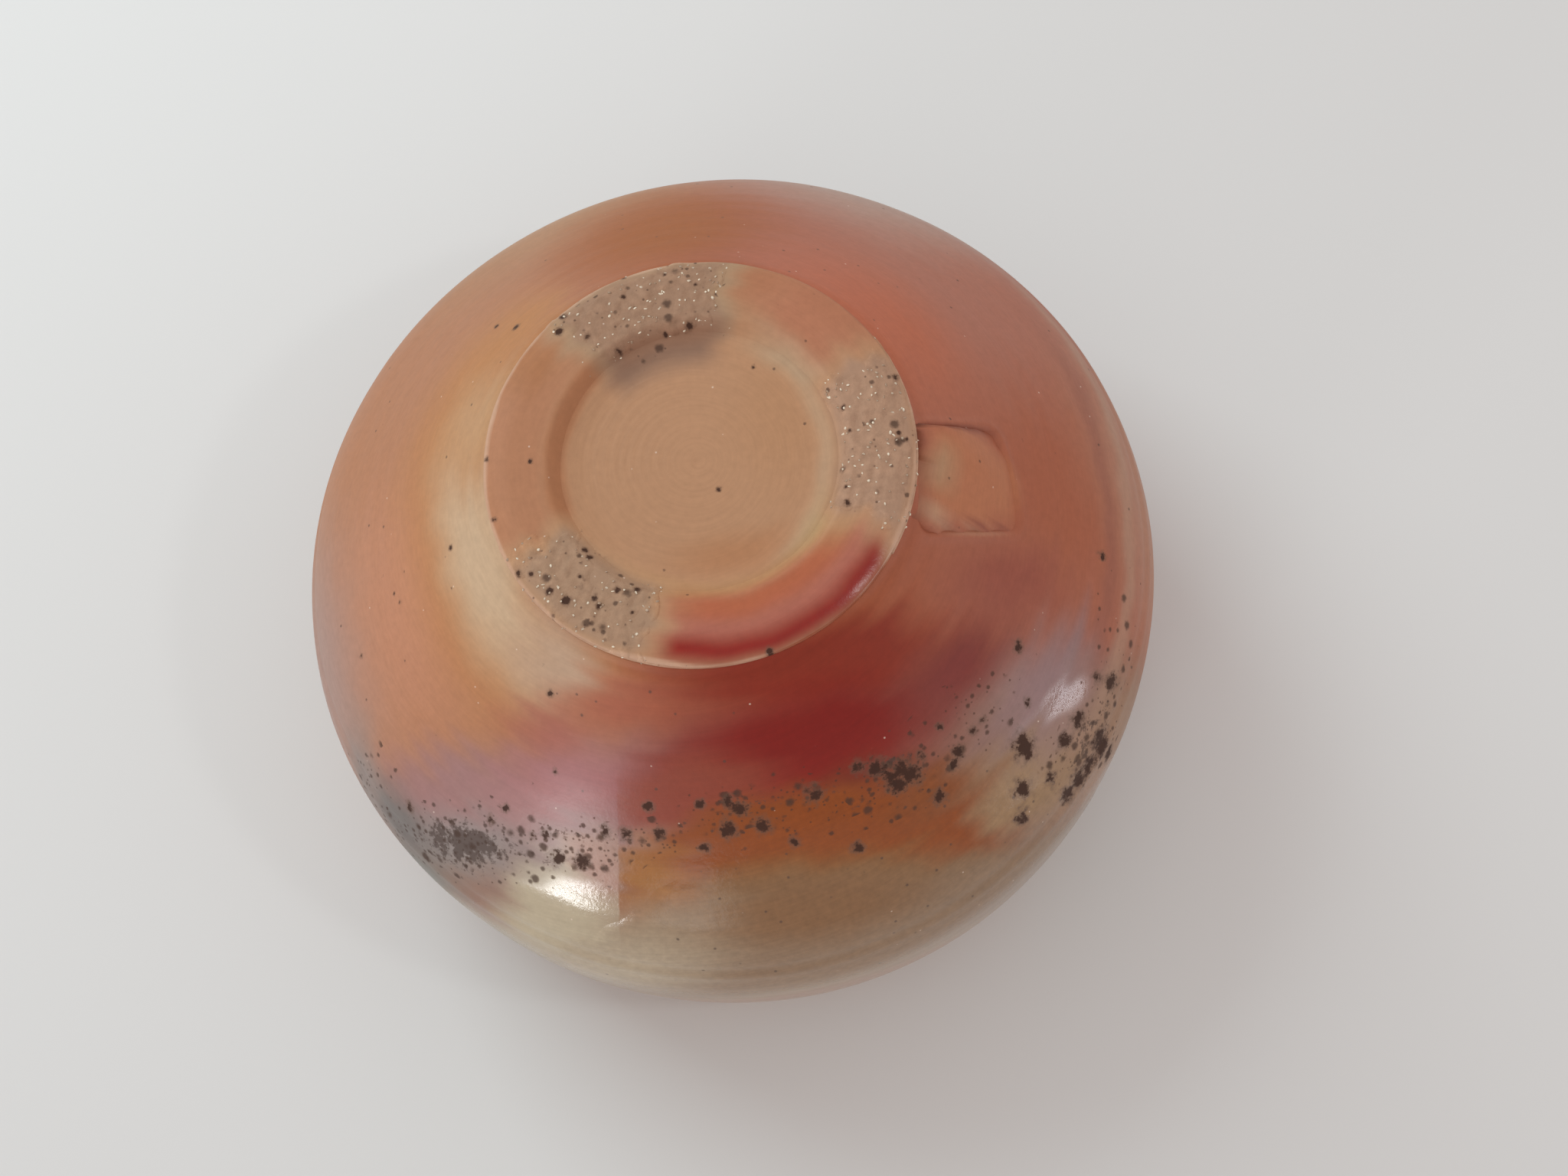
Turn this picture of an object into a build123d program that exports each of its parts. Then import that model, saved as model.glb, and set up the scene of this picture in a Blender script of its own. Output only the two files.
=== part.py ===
"""A terra sigillata bowl, lying mouth down on its lip with its foot ring up.

The origin is the centre of the lip's resting plane, and +Z is the bowl's axis,
from the mouth to the foot. Sizes are in millimetres and angles in degrees.
"""

import os
from math import asin, cos, degrees, radians, sin, tan

from build123d import *

# Wall in section: three arcs that run on smoothly from the mouth, then a straight shoulder
belly_radius = 60.0
belly_height = 33.0
belly_arc_radius = 24.0
belly_angle = 45.0
wall_arc_radius = 120.0
wall_angle = 10.0
gather_arc_radius = 40.0
wall_thickness = 5.4
lip_edge_radius = 2.0

# Throwing groove round the belly, pressed by a fingertip
groove_angle = 23.0
groove_radius = 1.2
groove_depth = 0.25

# Base, closed by a flat well on the inside
base_thickness = 7.0
well_edge_radius = 12.0

# Low foot ring: a crisp outer edge, a shallow roll up to the bearing face, and a recess inside
foot_radius = 27.0
edge_height = 1.0
roll_width = 3.7
roll_drop = 1.0
bearing_width = 4.4
recess_slope_width = 2.3
recess_edge_radius = 1.2

# Terra sigillata slip, and the ball that bounds the ash melted into it on one side
slip_thickness = 0.4
slip_low_height = 5.0
ash_angle = -84.0
ash_drop = 18.0
ash_reach = 48.0

# Place of the stamp on the shoulder, pressed in and left bare
stamp_width = 14.0
stamp_length = 16.5
stamp_corner_radius = 3.5
stamp_depth = 1.0
stamp_angle = -12.8
stamp_radius = 33.3

# Scars of the three kiln wads, bitten into the ring
scar_depth = 0.9
scar_width = 8.8
scar_middle_radius = 22.0
far_scar_angle = 98.0
far_sweep_angle = 29.0
right_scar_angle = -7.5
right_sweep_angle = 33.0
near_scar_angle = -139.0
near_sweep_angle = 25.0

# How far a cutting shape runs past what it cuts
overrun = 10.0


def point_at(centre, radius, angle):
    """Point of a circle at an angle."""
    return centre + Vector(radius * cos(radians(angle)), radius * sin(radians(angle)))


def angle_at(centre, radius, height):
    """Angle at which the outer half of a circle passes a height."""
    return degrees(asin((height - centre.Y) / radius))


# Centres of the wall's arcs, each on the line through the end that it shares with its neighbour
belly_centre = Vector(belly_radius - belly_arc_radius, belly_height)
wall_centre = Vector(belly_radius - wall_arc_radius, belly_height)
gather_centre = point_at(wall_centre, wall_arc_radius - gather_arc_radius, -wall_angle)
groove_centre = point_at(belly_centre, belly_arc_radius + groove_radius - groove_depth, groove_angle)

# The base is level where the shoulder, running on straight from the belly, has come in to the ring
shoulder_low = point_at(belly_centre, belly_arc_radius, belly_angle)
shoulder_rise_share = 1 / tan(radians(belly_angle))
base_height = shoulder_low.Y + (shoulder_low.X - foot_radius) * shoulder_rise_share
well_height = base_height - base_thickness
edge_top = base_height + edge_height
foot_top = edge_top + roll_drop
bearing_outer_radius = foot_radius - roll_width
bearing_inner_radius = bearing_outer_radius - bearing_width
recess_radius = bearing_inner_radius - recess_slope_width

# Plane on the shoulder's surface at the stamp, facing outwards
stamp_height = base_height - (stamp_radius - foot_radius) * shoulder_rise_share
stamp_out = Vector(1, 0).rotate(Axis.Z, stamp_angle)
stamp_plane = Plane(
    origin=stamp_out * stamp_radius + Vector(0, 0, stamp_height),
    x_dir=stamp_out.rotate(Axis.Z, 90),
    z_dir=stamp_out * cos(radians(belly_angle)) + Vector(0, 0, sin(radians(belly_angle))),
)


def bowl_section(inset, top):
    """Half section of all that lies inside the wall's surface, moved in by inset, up to a height."""
    gather_radius = gather_arc_radius - inset
    gather_low = angle_at(gather_centre, gather_radius, 0)
    with BuildSketch(Plane.XZ) as section:
        with BuildLine():
            mouth = CenterArc(gather_centre, gather_radius, gather_low, -wall_angle - gather_low)
            CenterArc(wall_centre, wall_arc_radius - inset, -wall_angle, wall_angle)
            belly = CenterArc(belly_centre, belly_arc_radius - inset, 0, belly_angle)
            low = belly @ 1
            high = Vector(low.X - (top - low.Y) / shoulder_rise_share, top)
            Polyline(low, high, (0, top), (0, 0), mouth @ 0)
        make_face()
    return section.sketch_local


def hollow_section():
    """Half section of the bowl's inside, with its well rounded into the wall."""
    with BuildSketch(Plane.XZ) as section:
        add(bowl_section(wall_thickness, well_height))
        well_edge = section.vertices().group_by(Axis.Y)[-1].sort_by(Axis.X)[-1]
        fillet(well_edge, well_edge_radius)
    return section.sketch_local


# Block of the stamp, which presses its place into the shoulder
with BuildPart() as stamp_block:
    with BuildSketch(stamp_plane):
        RectangleRounded(stamp_width, stamp_length, stamp_corner_radius)
    extrude(amount=stamp_depth, both=True)

# Clay of the bowl: lip, wall, shoulder, and the level base that the ring stands on
with BuildPart() as bowl_body:
    with BuildSketch(Plane.XZ) as body_section:
        add(bowl_section(slip_thickness, base_height))
        add(hollow_section(), mode=Mode.SUBTRACT)
        fillet(body_section.vertices().group_by(Axis.Y)[0], lip_edge_radius)
    revolve(axis=Axis.Z)
    add(stamp_block.part, mode=Mode.SUBTRACT)
bowl_body.part.label = "bowl_body"

# Whole outer skin, from just above the lip up to the foot ring, grooved at the belly
with BuildPart() as skin:
    with BuildSketch(Plane.XZ):
        add(bowl_section(0, base_height))
        add(bowl_section(slip_thickness, base_height), mode=Mode.SUBTRACT)
        with Locations(groove_centre):
            Circle(groove_radius, mode=Mode.SUBTRACT)
        with Locations((0, slip_low_height)):
            Rectangle(
                belly_radius + overrun,
                base_height,
                align=(Align.MIN, Align.MIN),
                mode=Mode.INTERSECT,
            )
    revolve(axis=Axis.Z)

# Ball that holds the stretch of skin where the ash melted
with BuildPart() as ash_ball:
    with Locations(Vector(belly_radius, 0, belly_height - ash_drop).rotate(Axis.Z, ash_angle)):
        Sphere(ash_reach)

# Slip over the outside, open at the stamp and where the ash took its place
with BuildPart() as slip_coat:
    add(skin.part)
    add(stamp_block.part, mode=Mode.SUBTRACT)
    add(ash_ball.part, mode=Mode.SUBTRACT)
slip_coat.part.label = "slip_coat"

# Ash glaze, one rounded patch of the same skin
with BuildPart() as ash_glaze:
    add(skin.part)
    add(ash_ball.part, mode=Mode.INTERSECT)
ash_glaze.part.label = "ash_glaze"

# Whole ring: crisp edge, shallow roll, flat bearing face, and a slope down to the base
with BuildPart() as ring:
    with BuildSketch(Plane.XZ) as ring_section:
        with BuildLine():
            ring_outline = Polyline(
                (foot_radius, edge_top),
                (foot_radius, base_height),
                (recess_radius, base_height),
                (bearing_inner_radius, foot_top),
                (bearing_outer_radius, foot_top),
            )
            TangentArc(ring_outline @ 1, ring_outline @ 0, tangent=(1, 0))
        make_face()
        inner_edge = ring_section.vertices().group_by(Axis.Y)[-1].sort_by(Axis.X)[0]
        fillet(inner_edge, recess_edge_radius)
    revolve(axis=Axis.Z)

# Block over each scar, from the scar's bed upwards
scar_angles = {
    "wad_scar_far": (far_scar_angle, far_sweep_angle),
    "wad_scar_right": (right_scar_angle, right_sweep_angle),
    "wad_scar_near": (near_scar_angle, near_sweep_angle),
}
scar_blocks = {}
for name, (middle, sweep) in scar_angles.items():
    with BuildPart() as scar_block:
        with BuildSketch(Plane.XY.offset(foot_top - scar_depth)):
            SlotArc(CenterArc((0, 0), scar_middle_radius, middle - sweep / 2, sweep), scar_width)
        extrude(amount=scar_depth + overrun)
    scar_blocks[name] = scar_block.part

# Foot ring, with a bed bitten into it at each scar
with BuildPart() as foot_ring:
    add(ring.part)
    add(scar_blocks.values(), mode=Mode.SUBTRACT)
foot_ring.part.label = "foot_ring"

pieces = [bowl_body, slip_coat, ash_glaze, foot_ring]

# Scars of coarse wad clay, which fill their beds up to the ring's own surface
for name, block in scar_blocks.items():
    with BuildPart() as wad_scar:
        add(ring.part)
        add(block, mode=Mode.INTERSECT)
    wad_scar.part.label = name
    pieces.append(wad_scar)

os.makedirs("parts", exist_ok=True)
for piece in pieces:
    export_step(piece.part, f"parts/{piece.part.label}.step")
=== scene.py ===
"""Looks of a terra sigillata bowl that lies mouth down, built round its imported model.

Sizes are in metres and angles in radians, in the model's own frame: the origin is the centre of
the lip's resting plane, and +Z is the bowl's axis, from the mouth up to the foot ring.
"""

import logging
from collections.abc import Callable
from dataclasses import dataclass
from enum import Enum
from math import cos, pi, radians, sin, sqrt, tan, tau

import bmesh
import bpy
import numpy as np
from mathutils import Matrix, Vector


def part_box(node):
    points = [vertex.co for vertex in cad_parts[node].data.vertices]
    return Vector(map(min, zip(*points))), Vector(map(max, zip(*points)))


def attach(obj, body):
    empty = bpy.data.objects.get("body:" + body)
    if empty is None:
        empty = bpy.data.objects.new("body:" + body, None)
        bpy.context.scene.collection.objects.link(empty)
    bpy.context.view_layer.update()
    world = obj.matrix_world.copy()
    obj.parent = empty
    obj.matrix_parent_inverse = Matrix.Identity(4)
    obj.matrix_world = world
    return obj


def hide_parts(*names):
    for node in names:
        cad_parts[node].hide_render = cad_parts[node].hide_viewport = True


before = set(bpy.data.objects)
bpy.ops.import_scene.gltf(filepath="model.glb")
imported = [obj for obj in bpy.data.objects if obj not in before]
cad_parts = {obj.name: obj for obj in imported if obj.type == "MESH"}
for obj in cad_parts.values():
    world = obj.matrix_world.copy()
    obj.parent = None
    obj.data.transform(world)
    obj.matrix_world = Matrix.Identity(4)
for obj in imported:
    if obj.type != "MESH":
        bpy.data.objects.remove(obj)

LOG = logging.getLogger("bowl")
BODY = "root"
MM = 0.001

# Sharp line in the glaze: the way across it on the unrolled plan, and its distance that way, in millimetres
LINE_ACROSS = (0.949, -0.316, 0.0)
LINE_PLACE = -6.9

# Height on the bowl that the lights are turned to, and distance of the low ones, past the floor's edge
AIM_HEIGHT = 0.05
LOW_REACH = 4.5


class Slot(Enum):
    """Material slots of the record."""

    CLAY = "clay"
    RING_CLAY = "flashed_clay"
    SLIP = "slip"
    ASH = "ash"
    WAD = "wad"


def polar(azimuth: np.ndarray, radius: np.ndarray, height: np.ndarray) -> np.ndarray:
    """Points from their azimuth, radius and height.

    Args:
        azimuth: Angles round the axis.
        radius: Distances from the axis.
        height: Heights above the lip's resting plane.

    Returns:
        Array of points, with x, y and z in the last place.
    """
    return np.stack([radius * np.cos(azimuth), radius * np.sin(azimuth), height + 0 * azimuth], -1)


def arc(centre: tuple[float, float], radius: float, start: float, end: float) -> np.ndarray:
    """Fine points of an arc in the section's plane.

    Args:
        centre: Radius and height of its centre.
        radius: Its own radius.
        start: Angle of its first point.
        end: Angle of its last point.

    Returns:
        Array of radius and height.
    """
    turn = np.linspace(start, end, 200)
    return np.stack([centre[0] + radius * np.cos(turn), centre[1] + radius * np.sin(turn)], -1)


def spaced(points: np.ndarray, step: float) -> np.ndarray:
    """Points at even steps along a line.

    Args:
        points: Array of radius and height along the line.
        step: Wanted distance between neighbours.

    Returns:
        Array of radius and height, with the same ends.
    """
    length = np.concatenate([[0.0], np.cumsum(np.hypot(*np.diff(points, axis=0).T))])
    places = np.linspace(0.0, length[-1], max(int(length[-1] / step), 1) + 1)
    return np.stack([np.interp(places, length, points[:, 0]), np.interp(places, length, points[:, 1])], -1)


def smooth(low: float, high: float, value: np.ndarray) -> np.ndarray:
    """Soft step from 0 below low to 1 above high.

    Args:
        low: Where it leaves 0.
        high: Where it reaches 1.
        value: Where it is wanted.

    Returns:
        Array of values from 0 to 1.
    """
    share = np.clip((value - low) / (high - low), 0.0, 1.0)
    return share * share * (3.0 - 2.0 * share)


def bump(value: np.ndarray, middle: float, width: float) -> np.ndarray:
    """Rounded bump of height 1.

    Args:
        value: Where it is wanted.
        middle: Where it is highest.
        width: How wide it is, from its middle to about a third of its height.

    Returns:
        Array of values from 0 to 1.
    """
    return np.exp(-(((value - middle) / width) ** 2))


def ripples(points: np.ndarray, size: float, seed: int) -> np.ndarray:
    """Lumpy pattern made of plane waves of many directions.

    Args:
        points: Places in the frame.
        size: Width of its lumps.
        seed: Number that picks the directions.

    Returns:
        Array of values, mostly from -1 to 1.
    """
    waves = 14
    usual_sum = 3.6
    draw = np.random.default_rng(seed)
    total = np.zeros(points.shape[:-1])
    for _ in range(waves):
        way = draw.normal(size=3)
        way *= tau / (size * draw.uniform(1.4, 2.8) * np.linalg.norm(way))
        total += np.sin(points @ way + draw.uniform(0.0, tau))
    return total / usual_sum


@dataclass(frozen=True)
class Lumps:
    """Lumpy unevenness.

    Attributes:
        height: Its usual height, or its usual share.
        size: Width of its lumps.
        seed: Number that picks it.
    """

    height: float
    size: float
    seed: int

    def at(self, points: np.ndarray) -> np.ndarray:
        """Its values at places in the frame."""
        return self.height * ripples(points, self.size, self.seed)


@dataclass(frozen=True)
class BowlProfile:
    """Section of the turned wall: three arcs that run on smoothly from the lip, then a straight shoulder.

    Attributes:
        belly_radius: Widest radius.
        belly_height: Height of the widest radius.
        belly_arc: Radius of the arc above it.
        belly_angle: Angle that this arc turns through, up to the straight shoulder.
        wall_arc: Radius of the arc below the widest radius.
        wall_angle: Angle that this arc turns through.
        gather_arc: Radius of the arc that gathers the wall in to the lip.
        wall: Thickness of the wall.
        base: Thickness of the base.
        well_edge: Radius of the rounded edge of the well inside.
        lip: Radius of the lip's rounded edges.
        slip: Thickness of the slip.
        slip_low: Height at which the slip starts.
        base_radius: Radius of the level base, which is the foot ring's own.
    """

    belly_radius: float
    belly_height: float = 33.0 * MM
    belly_arc: float = 24.0 * MM
    belly_angle: float = radians(45.0)
    wall_arc: float = 120.0 * MM
    wall_angle: float = radians(10.0)
    gather_arc: float = 40.0 * MM
    wall: float = 5.4 * MM
    base: float = 7.0 * MM
    well_edge: float = 12.0 * MM
    lip: float = 2.0 * MM
    slip: float = 0.4 * MM
    slip_low: float = 5.0 * MM
    base_radius: float = 27.0 * MM

    @property
    def belly_centre(self) -> tuple[float, float]:
        """Centre of the belly's arc."""
        return self.belly_radius - self.belly_arc, self.belly_height

    @property
    def shoulder_low(self) -> tuple[float, float]:
        """Lower end of the straight shoulder."""
        r, z = self.belly_centre
        return r + self.belly_arc * cos(self.belly_angle), z + self.belly_arc * sin(self.belly_angle)

    @property
    def wall_centre(self) -> tuple[float, float]:
        """Centre of the wall's arc."""
        return self.belly_radius - self.wall_arc, self.belly_height

    @property
    def gather_centre(self) -> tuple[float, float]:
        """Centre of the gathering arc, on the line through its upper end."""
        reach = self.wall_arc - self.gather_arc
        r, z = self.wall_centre
        return r + reach * cos(self.wall_angle), z - reach * sin(self.wall_angle)

    @property
    def base_height(self) -> float:
        """Height of the level base inside the ring."""
        r, z = self.shoulder_low
        return z + (r - self.base_radius) / tan(self.belly_angle)

    def shoulder_height(self, radius: float, inset: float = 0.0) -> float:
        """Height of the straight shoulder at a radius, or of a line that lies inside it by the inset."""
        drop = (radius - self.base_radius) / tan(self.belly_angle)
        return self.base_height - drop - inset / sin(self.belly_angle)

    def outline(self, inset: float, low: float, high: float, step: float) -> np.ndarray:
        """Outer face of the wall, or a line inside it, from its top end down.

        Args:
            inset: How far inside the outer face the line lies.
            low: Height of its lower end.
            high: Height of its upper end.
            step: Distance between its points.

        Returns:
            Array of radius and height, from the top down.
        """
        first_radius = 5.0 * MM
        last_angle = radians(-40.0)
        runs = [
            np.array([[first_radius, self.shoulder_height(first_radius, inset)]]),
            arc(self.belly_centre, self.belly_arc - inset, self.belly_angle, 0.0),
            arc(self.wall_centre, self.wall_arc - inset, 0.0, -self.wall_angle),
            arc(self.gather_centre, self.gather_arc - inset, -self.wall_angle, last_angle),
        ]
        line = np.concatenate(runs)
        ends = np.array([high, low])
        radii = np.interp(-ends, -line[:, 1], line[:, 0])
        inside = line[(line[:, 1] < high) & (line[:, 1] > low)]
        return spaced(np.vstack([[radii[0], high], inside, [radii[1], low]]), step)

    def lip_line(self) -> np.ndarray:
        """The lip's two rounded edges and the flat between them.

        Returns:
            Array of radius and height, from the outer face to the inner one.
        """
        step = 0.25 * MM
        r, z = self.gather_centre
        fall = self.lip - z
        outer = self.gather_arc - self.slip - self.lip
        inner = self.gather_arc - self.wall + self.lip
        outer_r = r + sqrt(outer**2 - fall**2)
        inner_r = r + sqrt(inner**2 - fall**2)
        outer_turn = np.arctan2(fall, outer_r - r)
        inner_turn = np.arctan2(fall, inner_r - r) - pi
        return np.vstack(
            [
                spaced(arc((outer_r, self.lip), self.lip, outer_turn, -pi / 2), step),
                spaced(arc((inner_r, self.lip), self.lip, -pi / 2, inner_turn), step),
            ]
        )

    def along(self, height: np.ndarray) -> np.ndarray:
        """Distance down the outer face from the ring.

        Args:
            height: Heights on the face.

        Returns:
            Array of distances.
        """
        line = self.outline(0.0, self.slip_low, self.base_height, step=0.1 * MM)
        length = np.concatenate([[0.0], np.cumsum(np.hypot(*np.diff(line, axis=0).T))])
        return np.interp(-height, -line[:, 1], length)

    def plan(self, points: np.ndarray) -> np.ndarray:
        """Places on the outside rolled out flat, as distances from the axis along the surface.

        Args:
            points: Places on the surface.

        Returns:
            Array of x and y, in millimetres.
        """
        margin = 0.8 * MM
        radius = np.hypot(points[:, 0], points[:, 1])
        on_wall = (points[:, 2] < self.base_height) & (radius > self.base_radius - margin)
        reach = np.where(on_wall, self.base_radius + self.along(points[:, 2]), radius)
        return points[:, :2] * (reach / np.maximum(radius, 1e-6))[:, None] / MM


@dataclass(frozen=True)
class RingProfile:
    """Section of the low foot ring.

    Attributes:
        radius: Outer radius.
        base: Height that it stands on.
        top: Height of its bearing face.
        edge: Height of its crisp outer edge above the base.
        roll: Width of the shallow roll inside this edge.
        bearing: Width of the level bearing face.
        slope: Width of the slope down to the recess.
        inner_edge: Radius of the rounded edge above the slope.
    """

    radius: float
    base: float
    top: float
    edge: float = 1.0 * MM
    roll: float = 3.7 * MM
    bearing: float = 4.4 * MM
    slope: float = 2.3 * MM
    inner_edge: float = 1.2 * MM

    @property
    def recess_radius(self) -> float:
        """Radius of the recess at its floor."""
        return self.radius - self.roll - self.bearing - self.slope

    def upper_line(self) -> np.ndarray:
        """Top face, from the crisp edge in to the recess's floor.

        Returns:
            Array of radius and height.
        """
        drop = self.top - self.base - self.edge
        arc_radius = (self.roll**2 + drop**2) / (2 * drop)
        outer = self.radius - self.roll
        lean = np.arcsin(self.roll / arc_radius)
        roll = arc((outer, self.top - arc_radius), arc_radius, pi / 2 - lean, pi / 2)
        inner = outer - self.bearing
        rise = self.top - self.base
        slope_lean = np.arctan2(rise, self.slope)
        back = self.inner_edge * np.tan(slope_lean / 2)
        crest = arc((inner + back, self.top - self.inner_edge), self.inner_edge, pi / 2, pi / 2 + slope_lean)
        foot = np.array([[self.recess_radius, self.base]])
        return np.vstack([roll, crest, foot])

    def height(self, radius: np.ndarray) -> np.ndarray:
        """Heights of the ring's top face, and of the base inside it, at distances from the axis."""
        line = self.upper_line()
        return np.interp(radius, line[::-1, 0], line[::-1, 1])


class Wiring:
    """Short names for adding nodes to a tree."""

    def __init__(self, tree: bpy.types.NodeTree) -> None:
        """Takes up a tree."""
        self.tree = tree

    def node(self, kind: str, **settings: object) -> bpy.types.Node:
        """Adds a node with its settings.

        Args:
            kind: Blender's name of the node's type.
            **settings: Values of its properties.

        Returns:
            The node.
        """
        node = self.tree.nodes.new(kind)
        for name, value in settings.items():
            setattr(node, name, value)
        return node

    def feed(self, socket: bpy.types.NodeSocket, value: object) -> None:
        """Sets a socket, or links it.

        Args:
            socket: The socket.
            value: Number, colour, vector or another socket.
        """
        if isinstance(value, bpy.types.NodeSocket):
            self.tree.links.new(value, socket)
        elif isinstance(value, tuple) and len(value) == 3 and socket.type == "RGBA":
            socket.default_value = (*value, 1.0)
        else:
            socket.default_value = value

    def math(
        self, operation: str, first: object, second: object = 0.0, third: object = 0.0
    ) -> bpy.types.NodeSocket:
        """Adds a sum.

        Args:
            operation: Blender's name of the operation.
            first: Socket or number.
            second: Socket or number.
            third: Socket or number, which a MULTIPLY_ADD adds.

        Returns:
            Its result.
        """
        node = self.node("ShaderNodeMath", operation=operation)
        for socket, value in zip(node.inputs, (first, second, third)):
            self.feed(socket, value)
        return node.outputs[0]


class FormTree(Wiring):
    """Geometry Nodes tree with named inputs, which makes plain pieces."""

    def __init__(self, name: str, inputs: dict[str, str]) -> None:
        """Starts the tree.

        Args:
            name: Name of the tree.
            inputs: Name of each input, with Blender's name of its type.
        """
        super().__init__(bpy.data.node_groups.new(name, "GeometryNodeTree"))
        face = self.tree.interface
        self.sockets = {
            title: face.new_socket(title, in_out="INPUT", socket_type=kind) for title, kind in inputs.items()
        }
        face.new_socket("Form", in_out="OUTPUT", socket_type="NodeSocketGeometry")
        self.start = self.node("NodeGroupInput").outputs

    def chain(self, kind: str, geometry: bpy.types.NodeSocket) -> bpy.types.Node:
        """Adds a node that a geometry runs through.

        Args:
            kind: Blender's name of the node's type.
            geometry: The geometry.

        Returns:
            The node.
        """
        node = self.node(kind)
        self.feed(node.inputs["Geometry"], geometry)
        return node

    def finish(self, geometry: bpy.types.NodeSocket) -> None:
        """Makes a geometry real, dresses it and puts it out.

        Args:
            geometry: The geometry.
        """
        real = self.chain("GeometryNodeRealizeInstances", geometry)
        dress = self.chain("GeometryNodeSetMaterial", real.outputs["Geometry"])
        self.feed(dress.inputs["Material"], self.start["Material"])
        self.feed(self.node("NodeGroupOutput").inputs["Form"], dress.outputs["Geometry"])

    def made(self, name: str, mesh: bpy.types.Mesh, values: dict[str, object]) -> bpy.types.Object:
        """Runs the tree on a mesh.

        Args:
            name: Name of the piece.
            mesh: The mesh.
            values: Value of each input but the geometry.

        Returns:
            The piece, a plain mesh.
        """
        pattern = added(name + "_pattern", mesh)
        modifier = pattern.modifiers.new("form", "NODES")
        modifier.node_group = self.tree
        for title, value in values.items():
            modifier[self.sockets[title].identifier] = value
        return made_plain(pattern, name)


class TurnedForm(FormTree):
    """Tree that turns a section round the axis, as a wheel does."""

    def __init__(self) -> None:
        """Builds the tree: a grid whose rows follow the section and whose columns go round the axis."""
        inputs = {
            "Section": "NodeSocketGeometry",
            "Segments": "NodeSocketInt",
            "Material": "NodeSocketMaterial",
        }
        super().__init__("turned_form", inputs)
        count = self.chain("GeometryNodeAttributeDomainSize", self.start["Section"])
        rows = count.outputs["Point Count"]
        grid = self.node("GeometryNodeMeshGrid")
        self.feed(grid.inputs["Vertices X"], self.math("ADD", self.start["Segments"], 1.0))
        self.feed(grid.inputs["Vertices Y"], rows)
        index = self.node("GeometryNodeInputIndex").outputs["Index"]
        row = self.math("MODULO", index, rows)
        column = self.math("FLOOR", self.math("DIVIDE", index, rows))
        sample = self.node("GeometryNodeSampleIndex", data_type="FLOAT_VECTOR", domain="POINT")
        self.feed(sample.inputs["Geometry"], self.start["Section"])
        self.feed(sample.inputs["Value"], self.node("GeometryNodeInputPosition").outputs["Position"])
        self.feed(sample.inputs["Index"], row)
        turn = self.math("MULTIPLY", self.math("DIVIDE", column, self.start["Segments"]), tau)
        spin = self.node("ShaderNodeVectorRotate", rotation_type="Z_AXIS")
        self.feed(spin.inputs["Vector"], sample.outputs["Value"])
        self.feed(spin.inputs["Angle"], turn)
        place = self.chain("GeometryNodeSetPosition", grid.outputs["Mesh"])
        self.feed(place.inputs["Position"], spin.outputs["Vector"])
        join = self.chain("GeometryNodeMergeByDistance", place.outputs["Geometry"])
        join.inputs["Distance"].default_value = 0.001 * MM
        self.finish(join.outputs["Geometry"])

    def turn(
        self, name: str, section: np.ndarray, segments: int, material: bpy.types.Material
    ) -> bpy.types.Object:
        """Turns a section into a closed piece.

        Args:
            name: Name of the piece.
            section: Array of radius and height, from axis to axis or back to its start.
            segments: How many faces go round.
            material: What it is made of.

        Returns:
            The piece, a plain mesh.
        """
        line = bpy.data.meshes.new(name + "_section")
        points = [(float(r), 0.0, float(z)) for r, z in section]
        line.from_pydata(points, [(i, i + 1) for i in range(len(points) - 1)], [])
        return self.made(name, line, {"Segments": segments, "Material": material})


def added(name: str, data: bpy.types.ID) -> bpy.types.Object:
    """Adds an object to the scene.

    Args:
        name: Its name.
        data: Its mesh, light or camera.

    Returns:
        The object.
    """
    thing = bpy.data.objects.new(name, data)
    bpy.context.scene.collection.objects.link(thing)
    return thing


def made_plain(pattern: bpy.types.Object, name: str) -> bpy.types.Object:
    """Plain mesh of an object whose modifiers make its shape, which it takes the place of.

    Args:
        pattern: The object with its modifiers.
        name: Name of the plain piece.

    Returns:
        The plain piece.
    """
    graph = bpy.context.evaluated_depsgraph_get()
    mesh = bpy.data.meshes.new_from_object(pattern.evaluated_get(graph))
    mesh.name = name
    piece = added(name, mesh)
    bpy.data.objects.remove(pattern)
    faced(mesh)
    return piece


def faced(mesh: bpy.types.Mesh) -> None:
    """Turns a closed mesh's faces outwards and shades them smooth.

    Args:
        mesh: The mesh.
    """
    work = bmesh.new()
    work.from_mesh(mesh)
    bmesh.ops.recalc_face_normals(work, faces=work.faces)
    work.to_mesh(mesh)
    work.free()
    mesh.shade_smooth()


def places(mesh: bpy.types.Mesh) -> np.ndarray:
    """Places of a mesh's points.

    Args:
        mesh: The mesh.

    Returns:
        Array of x, y and z.
    """
    points = np.empty(3 * len(mesh.vertices), np.float32)
    mesh.vertices.foreach_get("co", points)
    return points.reshape(-1, 3).astype(float)


def sculpted(piece: bpy.types.Object, relief: Callable[[np.ndarray], np.ndarray]) -> None:
    """Moves a piece's points along their normals.

    Args:
        piece: The piece.
        relief: Gives each point's move outwards.
    """
    mesh = piece.data
    points = places(mesh)
    normals = np.empty(points.size, np.float32)
    mesh.vertex_normals.foreach_get("vector", normals)
    points += normals.reshape(-1, 3) * relief(points)[:, None]
    mesh.vertices.foreach_set("co", points.astype(np.float32).ravel())
    mesh.update()


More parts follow.
